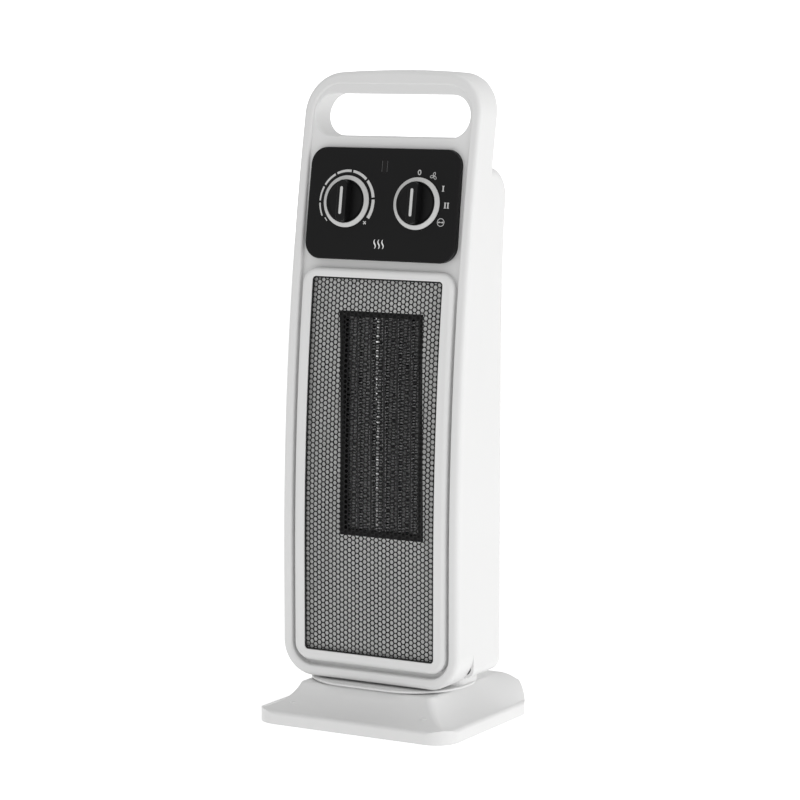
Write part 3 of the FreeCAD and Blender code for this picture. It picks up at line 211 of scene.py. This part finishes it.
def make_brush_group():
    """Fine parallel lines from rolling, turning or stacking: a height for the bump."""
    group, given, result = new_group("Drawn lines", [("Scale", 400.0), ("Stretch", 0.03)],
                                     [("Height", "NodeSocketFloat")])
    place = add(group, "ShaderNodeTexCoord")
    squeeze = add(group, "ShaderNodeCombineXYZ")
    stretch = add(group, "ShaderNodeVectorMath", operation="MULTIPLY")
    noise = add(group, "ShaderNodeTexNoise")
    noise.inputs["Detail"].default_value = 2.0
    squeeze.inputs[0].default_value = 1.0
    squeeze.inputs[1].default_value = 1.0
    links = group.links
    links.new(given.outputs["Stretch"], squeeze.inputs[2])
    links.new(place.outputs["Object"], stretch.inputs[0])
    links.new(squeeze.outputs[0], stretch.inputs[1])
    links.new(stretch.outputs[0], noise.inputs["Vector"])
    links.new(given.outputs["Scale"], noise.inputs["Scale"])
    links.new(noise.outputs[0], result.inputs["Height"])
    return group


GRAIN = make_grain_group()
PATINA = make_patina_group()
LINES = make_brush_group()
print("effects:", GRAIN.name, "/", PATINA.name, "/", LINES.name)

# %% [markdown]
# ## From effects to finishes
#
# One function lays out a finish: a base colour that drifts between two near tones, a wandering roughness and
# a bump from grain or drawn lines. What is the same all over a surface, such as metal or coat, is typed
# straight into the shader.

# %% A finish builder


def finish(name, tone, deep_tone, roughness, wander=0.06, grain=None, lines=None, bump=0.05, metallic=0.0,
           coat=0.0, specular=0.5, patch_scale=9.0):
    """A procedural material. grain and lines give the scale of the relief, or None."""
    material = bpy.data.materials.new(name)
    material.use_nodes = True
    tree = material.node_tree
    shader = tree.nodes["Principled BSDF"]
    patina = add(tree, "ShaderNodeGroup", node_tree=PATINA)
    patina.inputs["Roughness"].default_value = roughness
    patina.inputs["Wander"].default_value = wander
    patina.inputs["Scale"].default_value = patch_scale
    blend = add(tree, "ShaderNodeMix", data_type="RGBA")
    blend.inputs[6].default_value = (*tone, 1.0)
    blend.inputs[7].default_value = (*deep_tone, 1.0)
    links = tree.links
    links.new(patina.outputs["Mask"], blend.inputs[0])
    links.new(blend.outputs[2], shader.inputs["Base Color"])
    links.new(patina.outputs["Roughness"], shader.inputs["Roughness"])
    shader.inputs["Metallic"].default_value = metallic
    shader.inputs["Coat Weight"].default_value = coat
    shader.inputs["Coat Roughness"].default_value = 0.18
    shader.inputs["Specular IOR Level"].default_value = specular
    relief = add(tree, "ShaderNodeBump")
    relief.inputs["Strength"].default_value = bump
    relief.inputs["Distance"].default_value = 0.2 * MM
    source = add(tree, "ShaderNodeGroup", node_tree=LINES if lines else GRAIN)
    source.inputs["Scale"].default_value = lines or grain or 900.0
    links.new(source.outputs["Height"], relief.inputs["Height"])
    links.new(relief.outputs["Normal"], shader.inputs["Normal"])
    return material


white = finish("White moulding", (0.77, 0.77, 0.768), (0.735, 0.735, 0.732), 0.38, grain=1500, bump=0.035,
               specular=0.4)
panel_black = finish("Black panel moulding", (0.0055, 0.0055, 0.0057), (0.0075, 0.0075, 0.0078), 0.44,
                     grain=2200, bump=0.06, specular=0.16)
knob_black = finish("Black knob moulding", (0.0045, 0.0045, 0.0047), (0.0065, 0.0065, 0.0067), 0.42,
                    grain=2600, bump=0.05, specular=0.18)
silver = finish("Silver paint", (0.60, 0.60, 0.595), (0.54, 0.54, 0.535), 0.42, grain=5200, bump=0.05,
                metallic=0.15)
print_grey = finish("Pale print", (0.62, 0.62, 0.615), (0.56, 0.56, 0.555), 0.55, grain=3000, bump=0.04)
print_white = finish("White print", (0.84, 0.84, 0.84), (0.80, 0.80, 0.80), 0.55, grain=3000, bump=0.04)
guard_coat = finish("Black guard coat", (0.006, 0.006, 0.0065), (0.010, 0.010, 0.010), 0.48, grain=4200,
                    bump=0.12, specular=0.22)
duct_white = finish("Duct moulding", (0.90, 0.90, 0.895), (0.84, 0.84, 0.83), 0.42, grain=1200, bump=0.05)
frame_black = finish("Heat-proof moulding", (0.006, 0.006, 0.006), (0.011, 0.011, 0.011), 0.55, grain=1800,
                     bump=0.10, specular=0.2)
foil = finish("Fin foil", (0.62, 0.62, 0.625), (0.36, 0.365, 0.37), 0.28, wander=0.2, lines=900, bump=0.2,
              metallic=1.0, patch_scale=260)
# Painted highlight: a near-white metal for the glints along the edges of the bars.
painted_glint_foil = finish("Painted glint fold", (0.94, 0.94, 0.94), (0.88, 0.88, 0.89), 0.34, wander=0.1, lines=900,
                     bump=0.1, metallic=1.0, patch_scale=200)
bar_metal = finish("Dull bar tube", (0.10, 0.10, 0.105), (0.06, 0.06, 0.06), 0.42, lines=700, bump=0.15,
                   metallic=0.9)
steel = finish("Zinc-plated steel", (0.55, 0.55, 0.56), (0.47, 0.47, 0.475), 0.34, wander=0.15, lines=600,
               bump=0.12, metallic=1.0)
stack_steel = finish("Laminated steel", (0.24, 0.24, 0.25), (0.17, 0.17, 0.175), 0.45, lines=2400, bump=0.5,
                     metallic=0.9)
copper = finish("Taped winding", (0.33, 0.12, 0.035), (0.22, 0.08, 0.03), 0.42, lines=1400, bump=0.4,
                metallic=0.4)
brass = finish("Brass", (0.62, 0.44, 0.16), (0.50, 0.35, 0.13), 0.33, wander=0.15, lines=900, bump=0.1,
               metallic=1.0)
rubber = finish("Black rubber", (0.020, 0.020, 0.020), (0.030, 0.030, 0.030), 0.78, grain=1600, bump=0.3)
rubber_grey = finish("Grey rubber", (0.16, 0.16, 0.16), (0.12, 0.12, 0.12), 0.82, grain=1400, bump=0.3)
acetal = finish("Slip moulding", (0.72, 0.71, 0.67), (0.66, 0.65, 0.61), 0.38, grain=1500, bump=0.03)
phenolic = finish("Control housing", (0.10, 0.10, 0.105), (0.07, 0.07, 0.075), 0.46, grain=1400, bump=0.1)
sleeve = finish("Wire sleeve", (0.26, 0.26, 0.27), (0.2, 0.2, 0.21), 0.5, lines=1300, bump=0.3)
wheel = finish("Blower wheel", (0.045, 0.045, 0.047), (0.03, 0.03, 0.031), 0.5, grain=1400, bump=0.1)
smoked = finish("Smoked lens", (0.006, 0.0056, 0.0056), (0.008, 0.0074, 0.0074), 0.22, wander=0.05,
                grain=3000, bump=0.02, specular=0.2)
# Painted highlight: a grey for the light caught by the edges of the lamp's lens.
lens_edge_highlight = finish("Painted lens edge highlight", (0.11, 0.11, 0.112), (0.085, 0.085, 0.087), 0.5, grain=3000, bump=0.04)
amber = finish("Lamp glass", (0.75, 0.35, 0.12), (0.65, 0.28, 0.1), 0.12, grain=1200, bump=0.02, coat=0.5)
print(len(bpy.data.materials), "materials so far")

# %% [markdown]
# ## Dress the engineering pieces
#
# Each piece that came with the frame gets the finish of its real material. The list goes by material, the
# way a buyer would sort the parts in trays.

# %% Give every piece its finish
TRAYS = {
    white: ["front_shell", "rear_shell", "grille_bezel", "base_shell", "base_plate", "swivel_skirt"],
    panel_black: ["control_panel"],
    knob_black: ["thermostat_knob", "mode_knob"],
    silver: ["thermostat_ring", "mode_ring"],
    print_grey: ["thermostat_pointer", "mode_pointer"],
    guard_coat: ["front_grille"],
    duct_white: ["outlet_duct"],
    frame_black: ["heater_frame"],
    foil: ["heater_fins"],
    bar_metal: ["heater_bars"],
    steel: ["base_screws", "body_screws", "skirt_screws", "retaining_screws", "motor_screws", "motor_spacers",
            "motor_mount_screws", "motor_brackets", "fan_shaft", "thermostat_shaft", "mode_shaft",
            "tilt_spring", "retaining_ring", "swing_arm", "blower_scroll", "oscillation_motor",
            "thermal_cutout"],
    stack_steel: ["motor_stator", "motor_rotor"],
    copper: ["motor_coil"],
    brass: ["heater_terminals", "top_bearing"],
    rubber: ["cord_gland", "bearing_grommet"],
    rubber_grey: ["rubber_feet"],
    acetal: ["bearing_ring", "oscillation_crank", "crank_roller"],
    phenolic: ["thermostat_unit", "mode_switch", "terminal_block", "tilt_switch_housing", "tilt_microswitch",
               "tilt_plunger"],
    sleeve: ["wiring_loom", "thermal_fuse"],
    wheel: ["impeller"],
    smoked: ["pilot_lens"],
    amber: ["pilot_lamp"],
}
for material, names in TRAYS.items():
    for name in names:
        mesh = nodes[name].data
        mesh.materials.clear()
        mesh.materials.append(material)
bare = [name for name in nodes if not nodes[name].data.materials]
print("pieces without a finish:", bare)

# %% [markdown]
# ## The perforated guard
#
# The real guard is a thin steel sheet punched with a honeycomb of small six-sided holes, curved like the
# front and coated black. A picture of holes would look flat from the side, and cutting thousands of holes
# out of a solid is slow. Building one six-sided tile at a time, sharing corners with its neighbours, gives
# real holes and a closed mesh in a moment.

# %% Build the honeycomb sheet
guard_low, guard_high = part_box("front_grille")
PITCH = 4.07 * MM
HOLE_SHARE = 0.80
GUARD_DEPTH = -0.2 * MM
GUARD_THICK = 0.6 * MM
COLUMN_STEP = PITCH * math.sqrt(3) / 2


def hexagon(u, v, flat_to_flat):
    radius = flat_to_flat / math.sqrt(3)
    return [(u + radius * math.cos(math.radians(60 * k)), v + radius * math.sin(math.radians(60 * k)))
            for k in range(6)]


def make_guard():
    sheet = Sheet()
    half = guard_high.x
    columns = int((half - COLUMN_STEP * 0.7) / COLUMN_STEP)
    rows = int((guard_high.z - guard_low.z) / PITCH) - 1
    middle = (guard_low.z + guard_high.z) / 2
    for column in range(-columns, columns + 1):
        shift = 0.5 * (column % 2)
        for row in range(rows):
            u = column * COLUMN_STEP
            v = middle + (row - (rows - 1) / 2 + shift - 0.25) * PITCH
            outer = hexagon(u, v, PITCH)
            inner = hexagon(u, v, PITCH * HOLE_SHARE)
            for k in range(6):
                after = (k + 1) % 6
                sheet.patch([outer[k], outer[after], inner[after], inner[k]])
    guard = sheet.solid("guard_honeycomb", lambda u, v: on_curve(u, v, GUARD_DEPTH),
                        lambda u, v: on_curve(u, v, GUARD_DEPTH + GUARD_THICK), "tower")
    guard.data.materials.append(guard_coat)
    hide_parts("front_grille")
    return guard


guard = make_guard()
print("guard:", len(guard.data.polygons), "faces")

# %% [markdown]
# The sheet keeps a plain margin round the holes, where it is clamped behind the white band. A separate thin
# frame with rounded corners stands for that margin and hides the ragged ends of the honeycomb.

# %% Add the plain margin


def rounded_rectangle(half, low, high, radius, steps=8):
    corners = []
    for cx, cz, start in ((half - radius, high - radius, 0), (radius - half, high - radius, 90),
                          (radius - half, low + radius, 180), (half - radius, low + radius, 270)):
        for step in range(steps + 1):
            turn = math.radians(start + 90 * step / steps)
            corners.append((cx + radius * math.cos(turn), cz + radius * math.sin(turn)))
    return corners


def subdivide_pairs(outer, inner, longest=6 * MM):
    """Matching points along two outlines, close enough together to follow the curve."""
    pairs = []
    count = len(outer)
    for index in range(count):
        after = (index + 1) % count
        steps = max(1, math.ceil(math.dist(outer[index], outer[after]) / longest))
        for step in range(steps):
            share = step / steps
            pairs.append(tuple(tuple(a + (b - a) * share for a, b in zip(side[index], side[after]))
                               for side in (outer, inner)))
    return pairs


def make_margin():
    hidden = 3.2 * MM
    band = 1.2 * MM
    gap = 0.2 * MM
    outer = rounded_rectangle(guard_high.x - gap, guard_low.z + gap, guard_high.z - gap, 4 * MM)
    inner = rounded_rectangle(guard_high.x - hidden - band, guard_low.z + hidden + band,
                              guard_high.z - hidden - band, 2.2 * MM)
    outer = subdivide_pairs(outer, inner)
    sheet = Sheet()
    for index in range(len(outer)):
        after = (index + 1) % len(outer)
        sheet.patch([outer[index][0], outer[after][0], outer[after][1], outer[index][1]])
    margin = sheet.solid("guard_margin", lambda u, v: on_curve(u, v, GUARD_DEPTH - 0.12 * MM),
                         lambda u, v: on_curve(u, v, GUARD_DEPTH + GUARD_THICK + 0.1 * MM), "tower")
    margin.data.materials.append(guard_coat)
    return margin


margin = make_margin()

# %% [markdown]
# ## The heating element's foil
#
# Between the flat bars runs thin aluminium foil folded into tight waves, which gives the element its rows
# of fine glints. Each column is one long ribbon: a zigzag centre line with a little thickness, as deep as
# the element. The corners are shared out evenly so that the waves look rolled, not sawn.

# %% Fold the foil
fins_low, fins_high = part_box("heater_fins")
COLUMNS = 6
BAR_WIDTH = 2.4 * MM
FOIL = 0.22 * MM
WAVE = 2.3 * MM


def fold_ribbon(left, right, low, high):
    """Corners of a zigzag ribbon's centre line seen from the front, turning from one side of the column to
    the other.
    """
    waves = int((high - low) / (WAVE / 2))
    step = (high - low) / waves
    centre = []
    for index in range(waves + 1):
        side = left + FOIL if index % 2 == 0 else right - FOIL
        centre.append((side, low + step * index))
    return centre


def make_foil():
    pitch = (fins_high.x - fins_low.x + BAR_WIDTH) / COLUMNS
    vertices = []
    faces = []
    for column in range(COLUMNS):
        left = fins_low.x + pitch * column
        centre = fold_ribbon(left, left + pitch - BAR_WIDTH, fins_low.z + 0.4 * MM, fins_high.z - 0.4 * MM)
        start = len(vertices)
        for x, z in centre:
            for y in (fins_low.y, fins_high.y):
                for lift in (-FOIL / 2, FOIL / 2):
                    vertices.append((x, y, z + lift))
        for index in range(len(centre) - 1):
            a = start + index * 4
            b = a + 4
            faces += [[a, b, b + 2, a + 2], [a + 1, a + 3, b + 3, b + 1], [a, a + 1, b + 1, b],
                      [a + 2, b + 2, b + 3, a + 3]]
        last = start + (len(centre) - 1) * 4
        faces += [[start, start + 2, start + 3, start + 1], [last, last + 1, last + 3, last + 2]]
    ribbons = mesh_piece("foil_waves", vertices, faces, "tower")
    ribbons.data.materials.append(foil)
    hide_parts("heater_fins")
    return ribbons


ribbons = make_foil()
print("foil:", len(ribbons.data.polygons), "faces")

# %% [markdown]
# Where each wave is brazed to a bar it leaves a small fold. The blocks that stand for these folds are painted
# highlights: near-white glints in dashed lines along both edges of every bar. They are made as rows of small
# closed blocks, longer beside two of the bars, where the painted glints are stronger.

# %% Painted glints along the bars
BOX_FACES = ([0, 1, 3, 2], [4, 6, 7, 5], [0, 4, 5, 1], [2, 3, 7, 6], [0, 2, 6, 4], [1, 5, 7, 3])
GLINT_HALF_WIDE = 0.26 * MM
GLINT_DEEP = 0.5 * MM


def make_glint_folds():
    pitch = (fins_high.x - fins_low.x + BAR_WIDTH) / COLUMNS
    vertices = []
    faces = []
    face_y = fins_low.y
    rows = int((fins_high.z - fins_low.z) / WAVE) - 1
    for bar in range(1, COLUMNS):
        middle = fins_low.x + pitch * bar - BAR_WIDTH / 2
        # The painted glints are longer beside two of the bars.
        tall = (0.72 if bar in (2, 3) else 0.6) * WAVE
        for side in (-1, 1):
            x = middle + side * BAR_WIDTH * 0.46
            for row in range(rows):
                z = fins_low.z + (row + 1) * WAVE
                start = len(vertices)
                vertices += [(x + dx * GLINT_HALF_WIDE, y, z + dz * tall / 2) for dx in (-1, 1)
                             for y in (face_y, face_y + GLINT_DEEP) for dz in (-1, 1)]
                faces += [[start + k for k in face] for face in BOX_FACES]
    glint_folds = mesh_piece("foil_glint_folds", vertices, faces, "tower")
    glint_folds.data.materials.append(painted_glint_foil)
    return glint_folds


glint_folds = make_glint_folds()
print("folds:", len(glint_folds.data.polygons) // 6)

# %% [markdown]
# ## Printing on the control panel
#
# The dials are pad-printed: a scale of seven arcs that grow thicker with the heat, and small marks for off,
# fan only, low, high and swing. Print is a film of ink, so each mark is a very thin closed solid laid on the
# curved face. A mark is drawn flat, in millimetres round the knob's centre, and then bent onto the panel.

# %% Place marks on the curved panel
PANEL_PROUD = 1.7 * MM
KNOB_LEAN = math.radians(9.118)
KNOB_X = 32 * MM
INK = 0.09 * MM
lens_low, lens_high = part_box("pilot_lens")


def panel_point(across, up, lift):
    """A point across and up from the knobs' line, measured along the curved face."""
    reach = FRONT_RADIUS + PANEL_PROUD
    lean = KNOB_LEAN + up / reach
    radius = reach + lift
    return Vector((across, FACE_Y + FRONT_RADIUS - radius * math.cos(lean),
                   BEND_START + radius * math.sin(lean)))


def stroke(sheet, points, width, closed=False):
    """A line of even width through points; width may be a list, one for each point."""
    count = len(points)
    widths = width if isinstance(width, list) else [width] * count
    rails = []
    for index, point in enumerate(points):
        before = points[index - 1] if index or closed else point
        after = points[(index + 1) % count] if index < count - 1 or closed else point
        along = Vector((after[0] - before[0], after[1] - before[1])).normalized()
        side = Vector((-along.y, along.x)) * widths[index] / 2
        rails.append(((point[0] + side.x, point[1] + side.y), (point[0] - side.x, point[1] - side.y)))
    last = count if closed else count - 1
    for index in range(last):
        here = rails[index]
        there = rails[(index + 1) % count]
        sheet.patch([here[0], there[0], there[1], here[1]])


def lens_edge_highlights():
    """Two faint upright lines inside the edges of the lamp's lens, painted highlights where the lens's edges
    catch the light, as points, width and no closing.
    """
    middle = 0.5 * (lens_low.z + lens_high.z)
    up = (math.asin((middle - BEND_START) / (FRONT_RADIUS + PANEL_PROUD)) - KNOB_LEAN) * FRONT_RADIUS / MM
    return [([(side * 2.35, up - 4.4), (side * 2.35, up + 4.4)], 0.32, False) for side in (-1, 1)]


def scaled(points):
    return [(x * MM, y * MM) for x, y in points]


def print_or_highlight(name, strokes, material, lift=0.0):
    """One piece of print, or of painted highlight laid on like print. strokes is a list of (points in mm,
    width in mm, closed).
    """
    sheet = Sheet()
    for points, width, closed in strokes:
        wide = [w * MM for w in width] if isinstance(width, list) else width * MM
        stroke(sheet, scaled(points), wide, closed)
    piece = sheet.solid(name, lambda u, v: panel_point(u, v, lift + INK),
                        lambda u, v: panel_point(u, v, lift - INK / 2),
                        "tower")
    piece.data.materials.append(material)
    return piece


# %% The thermostat's scale
SCALE_RADIUS = 25.4
ARC_START, ARC_END = 211.0, -34.0
FIRST_SPAN, SPAN_GROWTH = 29.0, 2.0
ARC_GAP = 4.0
THIN, THICK = 1.1, 2.9
DIAL_X = -KNOB_X / MM


def thermostat_scale():
    """Arcs that run clockwise from the cool end, each a little longer and thicker than the one before."""
    strokes = []
    start = ARC_START
    span = FIRST_SPAN
    steps = 14
    while start - span > ARC_END - 1:
        turns = [start - ARC_GAP / 2 - (span - ARC_GAP) * k / steps for k in range(steps + 1)]
        widths = [THIN + (THICK - THIN) * (ARC_START - turn) / (ARC_START - ARC_END) for turn in turns]
        points = [(DIAL_X + (SCALE_RADIUS - width / 2) * math.cos(math.radians(turn)),
                   (SCALE_RADIUS - width / 2) * math.sin(math.radians(turn)))
                  for turn, width in zip(turns, widths)]
        strokes.append((points, widths, False))
        start -= span
        span += SPAN_GROWTH
    return strokes


def sign_marks():
    """A short bar at the cool end and a cross at the hot end, both turned to face the knob."""
    strokes = []
    for turn, radius, cross in ((219.0, 23.3, False), (-42.7, 24.2, True)):
        angle = math.radians(turn)
        spot = Vector((DIAL_X + radius * math.cos(angle), radius * math.sin(angle)))
        out = Vector((math.cos(angle), math.sin(angle)))
        along = Vector((-out.y, out.x))
        for arm in ([along, out] if cross else [along]):
            reach = arm * 1.6
            strokes.append(([tuple(spot - reach), tuple(spot + reach)], 0.8, False))
    return strokes


print_or_highlight("thermostat_scale", thermostat_scale(), print_grey)
print_or_highlight("thermostat_signs", sign_marks(), print_grey)

# %% The mode marks
MODE_RADIUS = 25.5
MODE_STEP = 30.5


def mode_spot(step, further=0.0):
    angle = math.radians(90 - MODE_STEP * step)
    radius = MODE_RADIUS + further
    return Vector((KNOB_X / MM + radius * math.cos(angle), radius * math.sin(angle)))


def ellipse(centre, wide, tall, steps=28):
    return [(centre[0] + wide * math.cos(2 * math.pi * k / steps),
             centre[1] + tall * math.sin(2 * math.pi * k / steps)) for k in range(steps)]


def numeral_bars(centre, count):
    """One or two upright bars with short feet, for the low and high settings."""
    strokes = []
    for index in range(count):
        x = centre[0] + (index - (count - 1) / 2) * 2.6
        low, high = centre[1] - 2.0, centre[1] + 2.0
        strokes.append(([(x, low), (x, high)], 1.0, False))
        for level in (low, high):
            strokes.append(([(x - 0.95, level), (x + 0.95, level)], 0.55, False))
    return strokes


def fan_petals(centre):
    strokes = []
    for index in range(3):
        turn = math.radians(75 + 120 * index)
        petal = []
        for k in range(14):
            swing = 2 * math.pi * k / 14
            along = 1.75 + 1.35 * math.cos(swing)
            side = 0.95 * math.sin(swing)
            petal.append((centre[0] + along * math.cos(turn) - side * math.sin(turn),
                          centre[1] + along * math.sin(turn) + side * math.cos(turn)))
        strokes.append((petal, 0.42, True))
    return strokes


def swing_mark(centre):
    """A ring with a two-way arrow across it."""
    strokes = [(ellipse(centre, 3.0, 3.0), 0.45, True)]
    strokes.append(([(centre[0] - 1.6, centre[1]), (centre[0] + 1.6, centre[1])], 0.5, False))
    for side in (-1, 1):
        tip = (centre[0] + 2.5 * side, centre[1])
        back = (centre[0] + 1.2 * side, centre[1])
        strokes.append(([tip, back], [0.1, 1.7], False))
    return strokes


mode_strokes = [(ellipse(mode_spot(0, -0.9), 1.2, 1.8), 0.7, True)]
mode_strokes += fan_petals(mode_spot(1))
mode_strokes += numeral_bars(mode_spot(2), 1)
mode_strokes += numeral_bars(mode_spot(3, 0.9), 2)
mode_strokes += swing_mark(mode_spot(4, 0.9))
print_or_highlight("mode_marks", mode_strokes, print_grey)

# %% [markdown]
# Under the knobs, where a maker's name would sit, this heater carries only a plain sign for warm air: three
# rising waves.

# %% A plain warm-air sign and the painted highlights on the lens


def warm_air_sign():
    strokes = []
    for index in (-1, 0, 1):
        points = []
        for k in range(17):
            share = k / 16
            points.append((index * 3.6 + 0.75 * math.sin(share * 2 * math.pi), -36.5 + 7.2 * share))
        widths = [0.35 + 0.75 * math.sin(math.pi * k / 16) for k in range(17)]
        strokes.append((points, widths, False))
    return strokes


print_or_highlight("warm_air_sign", warm_air_sign(), print_white)
# The two grey lines on the lamp's lens are painted highlights, the light caught by the lens's edges, laid on
# like print.
low_up = (math.asin((lens_low.z - BEND_START) / (FRONT_RADIUS + PANEL_PROUD)) - KNOB_LEAN) * FRONT_RADIUS
lens_lift = (panel_point(0, low_up, 0).y - lens_low.y) / math.cos(KNOB_LEAN)
print_or_highlight("lens_edge_highlights", lens_edge_highlights(), lens_edge_highlight, lens_lift)
print("the lens stands", round(lens_lift / MM, 2), "mm proud of the panel")

# %% [markdown]
# ## Floor, light and camera
#
# A pale floor, a pale backdrop and large soft lights show the form without hard shadows. The strongest light
# comes from the right, so the long side is bright and the front stays a shade darker. Floor and backdrop glow
# a little, which hides the line where they meet.

# %% Floor and backdrop
AZIMUTH = math.radians(29.985)
ELEVATION = math.radians(7.178)
ROOM = 5.5
FLOOR_REACH = 6
FLOOR_GLOW = 0.52
WALL_HALF_WIDE = 1.7
WALL_TALL = 0.9
WALL_GLOW = 0.9


def stage_sheet(name, corners, glow):
    """A pale sheet that isn't part of the heater. glow is the light that it gives out."""
    mesh = bpy.data.meshes.new(name)
    mesh.from_pydata(corners, [], [(0, 1, 2, 3)])
    piece = bpy.data.objects.new(name, mesh)
    bpy.context.scene.collection.objects.link(piece)
    paint = finish(name + " paint", (0.90, 0.90, 0.90), (0.88, 0.88, 0.88), 0.9, grain=300, bump=0.01,
                   specular=0.1)
    shader = paint.node_tree.nodes["Principled BSDF"]
    shader.inputs["Emission Color"].default_value = (1, 1, 1, 1)
    shader.inputs["Emission Strength"].default_value = glow
    piece.data.materials.append(paint)
    return piece


away = Vector((-math.sin(AZIMUTH), math.cos(AZIMUTH), 0))
across = Vector((away.y, -away.x, 0))
stage_sheet("studio_floor", [(-FLOOR_REACH, -FLOOR_REACH, 0), (FLOOR_REACH, -FLOOR_REACH, 0),
                             (FLOOR_REACH, FLOOR_REACH, 0), (-FLOOR_REACH, FLOOR_REACH, 0)], FLOOR_GLOW)
wall_foot = [away * ROOM - across * WALL_HALF_WIDE, away * ROOM + across * WALL_HALF_WIDE]
wall_top = [point + Vector((0, 0, WALL_TALL)) for point in reversed(wall_foot)]
stage_sheet("studio_backdrop", [tuple(point) for point in wall_foot + wall_top], WALL_GLOW)

# %% Soft light


def area_light(name, place, target, size, power):
    data = bpy.data.lights.new(name, "AREA")
    data.shape = "RECTANGLE"
    data.size, data.size_y = size
    data.energy = power
    lamp = bpy.data.objects.new(name, data)
    bpy.context.scene.collection.objects.link(lamp)
    lamp.location = place
    lamp.rotation_euler = (Vector(target) - Vector(place)).to_track_quat("-Z", "Y").to_euler()
    return lamp


def make_world(strength):
    world = bpy.data.worlds.new("studio")
    bpy.context.scene.world = world
    world.use_nodes = True
    background = world.node_tree.nodes["Background"]
    background.inputs["Color"].default_value = (strength, strength, strength, 1)


make_world(0.55)
CENTRE = (0, 0, 0.26)
area_light("side_panel", (1.9, 0.1, 0.7), CENTRE, (1.6, 1.8), 14)
area_light("front_panel", (-0.7, -2.6, 1.5), CENTRE, (1.6, 1.6), 3)
area_light("top_panel", (0.2, 0.2, 2.4), CENTRE, (2.0, 2.0), 9)

# %% Camera
back = Vector((math.sin(AZIMUTH) * math.cos(ELEVATION), -math.cos(AZIMUTH) * math.cos(ELEVATION),
               math.sin(ELEVATION)))
camera_data = bpy.data.cameras.new("portrait")
camera_data.lens = 132.43
camera_data.sensor_width = 36
camera = bpy.data.objects.new("portrait", camera_data)
bpy.context.scene.collection.objects.link(camera)
camera.location = (1.1707, -2.0188, 0.5539)
camera.rotation_euler = (-back).to_track_quat("-Z", "Y").to_euler()
bpy.context.scene.camera = camera
bpy.context.scene.view_settings.view_transform = "Standard"

# %% Done
print("scene ready")
